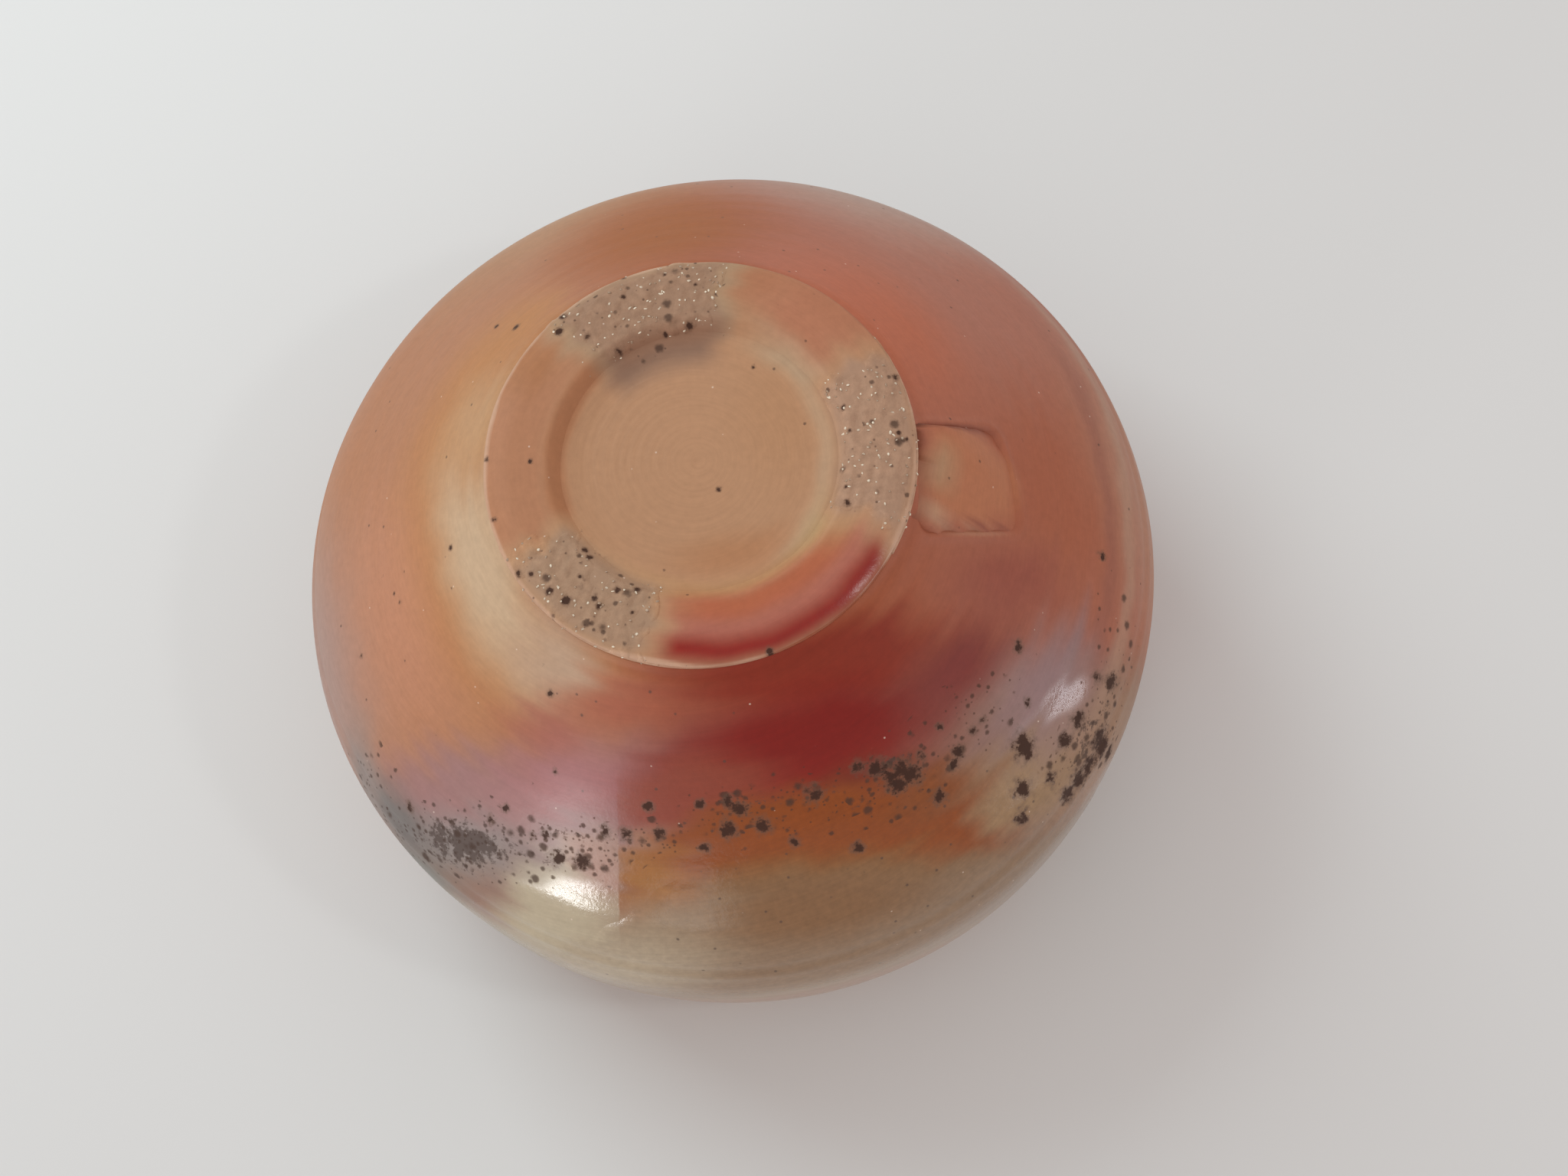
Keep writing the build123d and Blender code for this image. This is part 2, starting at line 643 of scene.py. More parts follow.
def padded_shell(
    name: str, top: np.ndarray, bottom: np.ndarray, material: bpy.types.Material
) -> bpy.types.Object:
    """Closed patch between two grids of points.

    Args:
        name: Name of the piece.
        top: Grid of the points of its upper face.
        bottom: Grid of the points of its lower face.
        material: What it is made of.

    Returns:
        The piece.
    """
    rows, columns = top.shape[:2]
    number = np.arange(rows * columns).reshape(rows, columns)
    upper = np.stack([number[:-1, :-1], number[:-1, 1:], number[1:, 1:], number[1:, :-1]], -1).reshape(-1, 4)
    lower = upper[:, ::-1] + rows * columns
    rim = np.concatenate([number[0], number[1:, -1], number[-1, -2::-1], number[-2::-1, 0]])
    wall = np.stack([rim[1:], rim[:-1], rim[:-1] + rows * columns, rim[1:] + rows * columns], -1)
    faces = np.vstack([upper, lower, wall])
    mesh = bpy.data.meshes.new(name)
    mesh.from_pydata(np.vstack([top.reshape(-1, 3), bottom.reshape(-1, 3)]).tolist(), [], faces.tolist())
    mesh.materials.append(material)
    faced(mesh)
    return added(name, mesh)


def seated(piece: bpy.types.Object, slot: Slot, *nodes: str) -> None:
    """Puts a piece on the bowl's body, in place of nodes of the model.

    Args:
        piece: The piece.
        slot: The record's slot; not used.
        *nodes: Nodes that it stands for.
    """
    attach(piece, BODY)
    if nodes:
        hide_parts(*nodes)
    LOG.info("%s: %d faces", piece.name, len(piece.data.polygons))


@dataclass(frozen=True)
class StampPlace:
    """Soft hollow where a stamp was pressed into the shoulder, left bare.

    Attributes:
        azimuth: Angle of its middle.
        radius: Distance of its middle from the axis.
        turn: Angle that it is turned by from the line down the shoulder.
        width: Size across the shoulder.
        length: Size down the shoulder.
        depth: Depth at its deepest edge.
        corner: Radius of its corners.
        shallow: Share of the depth that is left at its other edge.
        lost: Share of the depth that is lost towards its foot.
        uneven: How the depth varies, as a share.
        rim: Height of the clay raised round it.
    """

    azimuth: float = radians(-12.8)
    radius: float = 33.3 * MM
    turn: float = radians(15.0)
    width: float = 14.0 * MM
    length: float = 17.4 * MM
    depth: float = 1.7 * MM
    corner: float = 1.8 * MM
    shallow: float = 0.45
    lost: float = 0.6
    uneven: Lumps = Lumps(0.35, 4.5 * MM, 15)
    rim: float = 0.22 * MM

    def relief(self, points: np.ndarray, profile: BowlProfile) -> np.ndarray:
        """Move of the surface in the hollow and on its raised edge.

        Args:
            points: Places on the wall.
            profile: Section of the wall.

        Returns:
            Array of moves outwards.
        """
        middle = float(profile.along(np.array([profile.shoulder_height(self.radius)]))[0])
        azimuth = np.arctan2(points[:, 1], points[:, 0])
        drop = profile.along(points[:, 2])
        aside = (azimuth - self.azimuth) * np.hypot(points[:, 0], points[:, 1])
        across = aside * cos(self.turn) - (drop - middle) * sin(self.turn)
        down = (drop - middle) * cos(self.turn) + aside * sin(self.turn)
        over_x = np.abs(across) - self.width / 2 + self.corner
        over_y = np.abs(down) - self.length / 2 + self.corner
        outside = np.hypot(np.maximum(over_x, 0.0), np.maximum(over_y, 0.0)) - self.corner
        edge = outside + np.minimum(np.maximum(over_x, over_y), 0.0)
        lean = self.shallow + (1.0 - self.shallow) * smooth(-0.4 * self.width, self.width / 2, across)
        fade = 1.0 - self.lost * smooth(0.1 * self.length, 0.55 * self.length, down)
        uneven = 1.0 + self.uneven.at(points)
        hollow = self.depth * lean * fade * uneven * (1.0 - smooth(-0.85 * MM, 0.1 * MM, edge))
        rim = self.rim * bump(edge, 0.5 * MM, 0.55 * MM) * (0.35 + 0.65 * fade)
        return np.where(np.abs(azimuth - self.azimuth) < 1.0, rim - hollow, 0.0)


@dataclass(frozen=True)
class ThrownWall:
    """Marks of throwing and pressing on the wall's outer face.

    Attributes:
        profile: Section of the wall.
        stamp: Place of the stamp.
        groove_down: Distance of the groove from the ring, down the face.
        groove_width: Width of the groove.
        groove_depth: Depth of the groove.
        groove_rise: Height of the clay pushed up below the groove.
        ridge_down: Distance of the low ridge on one side from the ring.
        ridge_azimuth: Angle of the ridge's middle.
        ridge_height: Height of the ridge.
        wave: Height of the turning waves.
        wave_step: Distance from one wave to the next.
        wave_drift: How far the waves stray up and down.
        undercut: Depth of the wall's hollow just under the ring.
        lumps: Broad unevenness of the wall.
    """

    profile: BowlProfile
    stamp: StampPlace
    groove_down: float = 46.0 * MM
    groove_width: float = 0.75 * MM
    groove_depth: float = 0.19 * MM
    groove_rise: float = 0.11 * MM
    ridge_down: float = 41.8 * MM
    ridge_azimuth: float = radians(25.0)
    ridge_height: float = 0.05 * MM
    wave: float = 0.012 * MM
    wave_step: float = 4.6 * MM
    wave_drift: Lumps = Lumps(1.1 * MM, 40.0 * MM, 7)
    undercut: float = 0.22 * MM
    lumps: Lumps = Lumps(0.05 * MM, 17.0 * MM, 5)

    def relief(self, points: np.ndarray) -> np.ndarray:
        """Move of each point of the outer face.

        Args:
            points: Places on the face.

        Returns:
            Array of moves outwards.
        """
        azimuth = np.arctan2(points[:, 1], points[:, 0])
        down = self.profile.along(points[:, 2])
        # The groove rises and falls a little on its way round
        climb = down + 0.35 * MM * np.sin(azimuth) + 0.25 * MM * np.sin(2 * azimuth + 1.0)
        off = (climb - self.groove_down) / self.groove_width
        groove = self.groove_rise * bump(off, 2.0, 1.0) - self.groove_depth * bump(off, 0.0, 1.0)
        facing = smooth(0.2, 0.9, np.cos(azimuth - self.ridge_azimuth))
        ridge = self.ridge_height * bump(climb, self.ridge_down, 0.8 * MM) * facing
        uneven = climb + self.wave_drift.at(points)
        waves = self.wave * np.sin(uneven * tau / self.wave_step) * smooth(4.0 * MM, 12.0 * MM, down)
        hollow = -self.undercut * bump(down, 1.0 * MM, 0.9 * MM)
        lumps = self.lumps.at(points)
        return groove + ridge + waves + hollow + lumps + self.stamp.relief(points, self.profile)


class Side(Enum):
    """Side of the sharp line in the glaze on which a patch lies."""

    BOTH = "both"
    LEFT = "left"
    RIGHT = "right"


@dataclass(frozen=True)
class Flash:
    """Soft oval patch on the unrolled plan, in millimetres and degrees: mostly what the flame left, and in
    places painted light or shade.

    Attributes:
        name: What it is.
        x: Place across.
        y: Place up.
        across: Half its size along its own length.
        along: Half its size the other way.
        value: Its colour, linear, or its one number.
        share: How much it covers what is under it, from 0 to 1.
        turn: Angle of its length.
        soft: Share of its size over which it fades.
        side: Side of the sharp line on which it shows.
    """

    name: str
    x: float
    y: float
    across: float
    along: float
    value: tuple[float, ...]
    share: float = 1.0
    turn: float = 0.0
    soft: float = 0.9
    side: Side = Side.BOTH

    def cover(self, plan: np.ndarray) -> np.ndarray:
        """How much it covers each place of the plan.

        Args:
            plan: Places.

        Returns:
            Array of shares.
        """
        turn = radians(self.turn)
        x, y = plan[:, 0] - self.x, plan[:, 1] - self.y
        over_x = (x * cos(turn) + y * sin(turn)) / self.across
        over_y = (y * cos(turn) - x * sin(turn)) / self.along
        return self.share * (1.0 - smooth(1.0 - self.soft, 1.0, np.hypot(over_x, over_y)))


@dataclass(frozen=True)
class Band:
    """Soft stretch of a band round the axis, on the unrolled plan, in millimetres and degrees.

    Attributes:
        name: What it is.
        inner: Its inner radius.
        outer: Its outer radius.
        middle: Angle of its middle.
        half: Half the angle that it spans.
        value: Its colour, linear, or its one number.
        share: How much it covers what is under it, from 0 to 1.
        soft: Half the width over which its edge fades.
        fade: Half the angle over which its ends fade.
        side: Side of the sharp line on which it shows.
    """

    name: str
    inner: float
    outer: float
    middle: float
    half: float
    value: tuple[float, ...]
    share: float = 1.0
    soft: float = 1.0
    fade: float = 8.0
    side: Side = Side.BOTH

    def cover(self, plan: np.ndarray) -> np.ndarray:
        """How much it covers each place of the plan.

        Args:
            plan: Places.

        Returns:
            Array of shares.
        """
        radius = np.hypot(plan[:, 0], plan[:, 1])
        turn = np.abs((np.degrees(np.arctan2(plan[:, 1], plan[:, 0])) - self.middle + 180.0) % 360.0 - 180.0)
        beyond = np.maximum(self.inner - radius, radius - self.outer)
        ends = 0.0 if self.half == 180 else smooth(-self.fade, self.fade, turn - self.half)
        return self.share * (1.0 - smooth(-self.soft, self.soft, beyond)) * (1.0 - ends)


def laid(
    base: tuple[float, ...], patches: tuple[Flash | Band, ...], plan: np.ndarray, side: Side = Side.BOTH
) -> np.ndarray:
    """Lays patches over a base.

    Args:
        base: Value outside the patches.
        patches: Patches, from the lowest layer up.
        plan: Places.
        side: Side of the sharp line that is wanted.

    Returns:
        Array of values.
    """
    values = np.tile(np.array(base, float), (len(plan), 1))
    for patch in patches:
        if patch.side in (Side.BOTH, side):
            values += patch.cover(plan)[:, None] * (np.array(patch.value) - values)
    return values


@dataclass(frozen=True)
class Paint:
    """What the fire left on a surface, with some painted light and shade: colours, gloss and iron spots, on
    the unrolled plan.

    Attributes:
        base: Colour under all patches, linear.
        patches: Patches of colour, from the lowest layer up.
        matt: Gloss outside the glossy patches, from 0 to 1.
        gloss: Glossy patches, from the lowest layer up.
        speckle: Patches full of fine iron spots, from the lowest layer up.
        spots: Iron spots, each as x, y and half its width.
        wander: How far the patches' edges wander, in millimetres.
        streak: How far they are drawn out along the turned lines, in millimetres.
        calm: Place where they don't wander.
    """

    base: tuple[float, float, float]
    patches: tuple[Flash | Band, ...]
    matt: float
    gloss: tuple[Flash | Band, ...]
    speckle: tuple[Flash | Band, ...]
    spots: tuple[tuple[float, float, float], ...]
    wander: float = 1.0
    streak: float = 1.1
    calm: Flash | None = None

    def drifted(self, points: np.ndarray, plan: np.ndarray) -> np.ndarray:
        """Moves places on the plan, so that the patches' edges wander.

        Args:
            points: Places in the frame.
            plan: The same places on the plan.

        Returns:
            Array of the moved places on the plan.
        """
        broad, fine, drawn_out = 15.0 * MM, 3.0 * MM, 1.1 * MM
        drift = [ripples(points, broad, seed) + 0.35 * ripples(points, fine, seed + 2) for seed in (61, 62)]
        reach = np.hypot(plan[:, 0], plan[:, 1])
        turned = np.column_stack([reach * MM, 0.004 * plan * MM])
        along = np.column_stack([-plan[:, 1], plan[:, 0]]) / np.maximum(reach, 1.0)[:, None]
        drawn = self.streak * ripples(turned, drawn_out, 63)[:, None] * along
        still = 0.0 if self.calm is None else self.calm.cover(plan)[:, None]
        return plan + self.wander * (1.0 - still) * (np.stack(drift, -1) + drawn)

    def lay(self, piece: bpy.types.Object, profile: BowlProfile) -> None:
        """Writes its fields on a piece as attributes of its points.

        Args:
            piece: The piece.
            profile: Section of the wall.
        """
        points = places(piece.data)
        plan = profile.plan(points)
        uneven = self.drifted(points, plan)
        for side in (Side.LEFT, Side.RIGHT):
            colour = np.ones((len(plan), 4))
            colour[:, :3] = laid(self.base, self.patches, uneven, side)
            store(piece, f"colour_{side.value}", "FLOAT_COLOR", "color", colour)
        store(piece, "gloss", "FLOAT", "value", laid((self.matt,), self.gloss, uneven))
        store(piece, "speckle", "FLOAT", "value", laid((0.0,), self.speckle, uneven))
        past_all_spots = 4.0
        near = np.full(len(plan), past_all_spots)
        for x, y, size in self.spots:
            near = np.minimum(near, np.hypot(plan[:, 0] - x, plan[:, 1] - y) / size)
        store(piece, "spots", "FLOAT", "value", near)
        store(piece, "plan", "FLOAT_VECTOR", "vector", np.column_stack([plan, np.zeros(len(plan))]))


def store(piece: bpy.types.Object, name: str, kind: str, entry: str, values: np.ndarray) -> None:
    """Stores an attribute on a piece's points.

    Args:
        piece: The piece.
        name: Name of the attribute.
        kind: Blender's name of its type.
        entry: Blender's name of its value.
        values: Its values, point by point.
    """
    attribute = piece.data.attributes.new(name, kind, "POINT")
    attribute.data.foreach_set(entry, np.ascontiguousarray(values, dtype=np.float32).ravel())


class Shader(Wiring):
    """Short names for the nodes that the finishes are made of."""

    def __init__(self, name: str) -> None:
        """Starts a material.

        Args:
            name: Name of the material.
        """
        self.material = bpy.data.materials.new(name)
        self.material.use_nodes = True
        super().__init__(self.material.node_tree)
        self.tree.nodes.clear()
        self.surface = self.node("ShaderNodeBsdfPrincipled")
        output = self.node("ShaderNodeOutputMaterial")
        self.tree.links.new(self.surface.outputs[0], output.inputs[0])
        place = self.node("ShaderNodeTexCoord").outputs["Object"]
        self.place = self.vector("SCALE", place, 1.0 / MM)

    def vector(self, operation: str, first: object, second: object) -> bpy.types.NodeSocket:
        """Adds a sum of vectors.

        Args:
            operation: Blender's name of the operation.
            first: Socket or vector.
            second: Socket or vector, or the scale.

        Returns:
            Its result.
        """
        node = self.node("ShaderNodeVectorMath", operation=operation)
        self.feed(node.inputs[0], first)
        self.feed(node.inputs["Scale"] if operation == "SCALE" else node.inputs[1], second)
        return node.outputs["Value" if operation in ("LENGTH", "DISTANCE", "DOT_PRODUCT") else "Vector"]

    def noise(
        self, size: float, detail: float = 3.0, place: object = None, colour: bool = False, rough: float = 0.5
    ) -> bpy.types.NodeSocket:
        """Adds a noise pattern.

        Args:
            size: Size of its lumps, in millimetres.
            detail: How many finer layers it has.
            place: Where it is read, or the object's own place.
            colour: Whether its three-way colour is wanted.
            rough: How strong its finer layers are.

        Returns:
            Its value, about one half on average, or its colour.
        """
        node = self.node("ShaderNodeTexNoise")
        self.feed(node.inputs["Vector"], self.place if place is None else place)
        node.inputs["Scale"].default_value = 1.0 / size
        node.inputs["Detail"].default_value = detail
        node.inputs["Roughness"].default_value = rough
        return node.outputs["Color" if colour else "Fac"]

    def step(self, value: object, low: float, high: float) -> bpy.types.NodeSocket:
        """Adds a soft step from 0 at low to 1 at high.

        Args:
            value: Socket.
            low: Where it leaves 0.
            high: Where it reaches 1.

        Returns:
            Its result.
        """
        node = self.node("ShaderNodeMapRange", interpolation_type="SMOOTHSTEP")
        self.feed(node.inputs["Value"], value)
        node.inputs["From Min"].default_value = min(low, high)
        node.inputs["From Max"].default_value = max(low, high)
        node.inputs["To Min"].default_value = 0.0 if low < high else 1.0
        node.inputs["To Max"].default_value = 1.0 if low < high else 0.0
        return node.outputs[0]

    def mix(self, share: object, first: object, second: object) -> bpy.types.NodeSocket:
        """Adds a mix of two colours.

        Args:
            share: How much of the second shows.
            first: Colour or socket.
            second: Colour or socket.

        Returns:
            Its result.
        """
        node = self.node("ShaderNodeMix", data_type="RGBA", clamp_factor=True)
        self.feed(node.inputs[0], share)
        self.feed(node.inputs[6], first)
        self.feed(node.inputs[7], second)
        return node.outputs[2]

    def attribute(self, name: str, entry: str = "Fac") -> bpy.types.NodeSocket:
        """Adds the reading of an attribute, and gives the output that is wanted."""
        return self.node("ShaderNodeAttribute", attribute_type="GEOMETRY", attribute_name=name).outputs[entry]

    def dots(self, spacing: float, size: float, rate: object) -> bpy.types.NodeSocket:
        """Adds small scattered dots.

        Args:
            spacing: Distance between their possible places, in millimetres.
            size: Their radius, in millimetres.
            rate: Share of the places that hold one.

        Returns:
            1 on a dot and 0 beside it.
        """
        cells = self.node("ShaderNodeTexVoronoi")
        drift = self.vector("SCALE", self.noise(0.9 * size, 2.0, colour=True), 0.8 * size)
        self.feed(cells.inputs["Vector"], self.vector("ADD", self.place, drift))
        cells.inputs["Scale"].default_value = 1.0 / spacing
        near = self.step(cells.outputs["Distance"], 1.35 * size / spacing, 0.5 * size / spacing)
        draw = self.vector("DOT_PRODUCT", cells.outputs["Color"], (1.0, 0.0, 0.0))
        return self.math("MULTIPLY", near, self.math("LESS_THAN", draw, rate))


# Colours of iron and grains in the clay, linear
DARK_SPECK = (0.07, 0.04, 0.03)
PALE_GRAIN = (0.75, 0.62, 0.52)
IRON_CLOUD = (0.08, 0.055, 0.047)
IRON_FLECK = (0.065, 0.036, 0.026)
IRON_HALO = (0.13, 0.07, 0.045)
IRON_SPOT = (0.045, 0.02, 0.014)

# Iron flecks in the speckled patches, each size with its spacing and radius, in millimetres, and its strength
FLECKS = ((1.9, 0.62, 0.8), (1.1, 0.34, 0.75), (0.7, 0.17, 0.65))


@dataclass(frozen=True)
class Finish:
    """Fired surface that shows the paint laid on its piece.

    Attributes:
        name: Name of the material.
        mottle: How much its lightness varies over about a millimetre.
        streaks: How much its lightness varies from one turned line to the next.
        rough_matt: Roughness where the gloss is 0.
        rough_gloss: Roughness where the gloss is 1.
        shine_matt: Specular level where the gloss is 0.
        shine_gloss: Specular level where the gloss is 1.
        grain: Height of its fine grain, in millimetres.
        grain_size: Width of its fine grain, in millimetres.
        peel: Height of the ripples where the gloss is 1, in millimetres.
        dark_rate: How common dark specks are.
        pale_rate: How common pale grains are.
        line: Whether the sharp line in the glaze crosses it.
        iron_dulls: Share of the gloss that iron takes away.
    """

    name: str
    mottle: float = 0.12
    streaks: float = 0.06
    rough_matt: float = 0.62
    rough_gloss: float = 0.14
    shine_matt: float = 0.12
    shine_gloss: float = 0.5
    grain: float = 0.006
    grain_size: float = 0.35
    peel: float = 0.036
    dark_rate: float = 0.14
    pale_rate: float = 0.1
    line: bool = False
    iron_dulls: float = 0.9

    def ground(self, shader: Shader) -> bpy.types.NodeSocket:
        """Colour that the flame left, with some painted light and shade, on both sides of the sharp line.

        Args:
            shader: The material.

        Returns:
            The colour.
        """
        plan = shader.attribute("plan", "Vector")
        colour = shader.attribute("colour_right", "Color")
        if self.line:
            across = shader.vector("DOT_PRODUCT", plan, LINE_ACROSS)
            ragged = shader.math("ADD", across, shader.math("MULTIPLY", shader.noise(2.5), 0.7))
            past = shader.step(ragged, LINE_PLACE - 0.2, LINE_PLACE + 0.2)
            colour = shader.mix(past, shader.attribute("colour_left", "Color"), colour)
        rings = shader.node("ShaderNodeCombineXYZ")
        reach = shader.vector("LENGTH", plan, (0.0, 0.0, 0.0))
        shader.feed(rings.inputs[0], shader.math("MULTIPLY", reach, 2.4))
        swirl = shader.vector("ADD", shader.vector("SCALE", plan, 0.3), rings.outputs[0])
        lines = shader.noise(1.0, 3.0, swirl)
        streak = shader.math("MULTIPLY_ADD", lines, 2.0 * self.streaks, 1.0 - self.streaks)
        return shader.vector("SCALE", colour, streak)

    def spotted(
        self, shader: Shader, colour: bpy.types.NodeSocket
    ) -> tuple[bpy.types.NodeSocket, bpy.types.NodeSocket]:
        """Lays mottling, specks, grains and iron spots over a colour.

        Args:
            shader: The material.
            colour: The colour under them.

        Returns:
            The colour, and how much iron covers it.
        """
        lumps = shader.noise(1.1, 4.0, rough=0.6)
        blotch = shader.math("MULTIPLY_ADD", lumps, 2.0 * self.mottle, 1.0 - self.mottle)
        colour = shader.vector("SCALE", colour, blotch)
        dark = shader.math("MULTIPLY", shader.dots(2.3, 0.22, self.dark_rate), 0.7)
        colour = shader.mix(dark, colour, DARK_SPECK)
        speckle = shader.attribute("speckle")
        crowd = shader.math("MULTIPLY", shader.math("MULTIPLY", speckle, speckle), 0.45)
        blot = shader.step(shader.math("ADD", crowd, shader.noise(1.9, 4.0, rough=0.7)), 0.71, 0.83)
        colour = shader.mix(shader.math("MULTIPLY", blot, 0.8), colour, IRON_CLOUD)
        cover = blot
        for spacing, size, share in FLECKS:
            fleck = shader.math("MULTIPLY", shader.dots(spacing, size, speckle), share)
            cover = shader.math("MAXIMUM", cover, fleck)
            colour = shader.mix(fleck, colour, IRON_FLECK)
        pale = shader.math("MULTIPLY", shader.dots(1.7, 0.13, self.pale_rate), 0.6)
        colour = shader.mix(pale, colour, PALE_GRAIN)
        ragged = shader.math("MULTIPLY", shader.noise(1.3, 4.0, rough=0.7), 3.2)
        near = shader.math("ADD", shader.attribute("spots"), ragged)
        halo = shader.math("MULTIPLY", shader.step(near, 3.3, 2.3), 0.6)
        colour = shader.mix(halo, colour, IRON_HALO)
        spot = shader.step(near, 2.6, 2.1)
        colour = shader.mix(shader.math("MULTIPLY", spot, 0.9), colour, IRON_SPOT)
        return colour, shader.math("MAXIMUM", cover, spot)

    def material(self) -> bpy.types.Material:
        """Builds the material.

        Returns:
            The material.
        """
        shader = Shader(self.name)
        colour, iron = self.spotted(shader, self.ground(shader))
        shader.feed(shader.surface.inputs["Base Color"], colour)
        dull = shader.math("MULTIPLY_ADD", iron, -self.iron_dulls, 1.0)
        gloss = shader.math("MULTIPLY", shader.attribute("gloss"), dull)
        rough = shader.math("MULTIPLY_ADD", gloss, self.rough_gloss - self.rough_matt, self.rough_matt)
        shader.feed(shader.surface.inputs["Roughness"], rough)
        shine = shader.math("MULTIPLY_ADD", gloss, self.shine_gloss - self.shine_matt, self.shine_matt)
        shader.feed(shader.surface.inputs["Specular IOR Level"], shine)
        grain = shader.math("MULTIPLY", shader.noise(self.grain_size, 2.0), self.grain)
        peel = shader.math("MULTIPLY", shader.noise(0.9, 3.0, rough=0.6), self.peel)
        height = shader.math("ADD", grain, shader.math("MULTIPLY", peel, gloss))
        bump = shader.node("ShaderNodeBump")
        bump.inputs["Strength"].default_value = 1.0
        bump.inputs["Distance"].default_value = MM
        shader.feed(bump.inputs["Height"], height)
        shader.feed(shader.surface.inputs["Normal"], bump.outputs[0])
        return shader.material


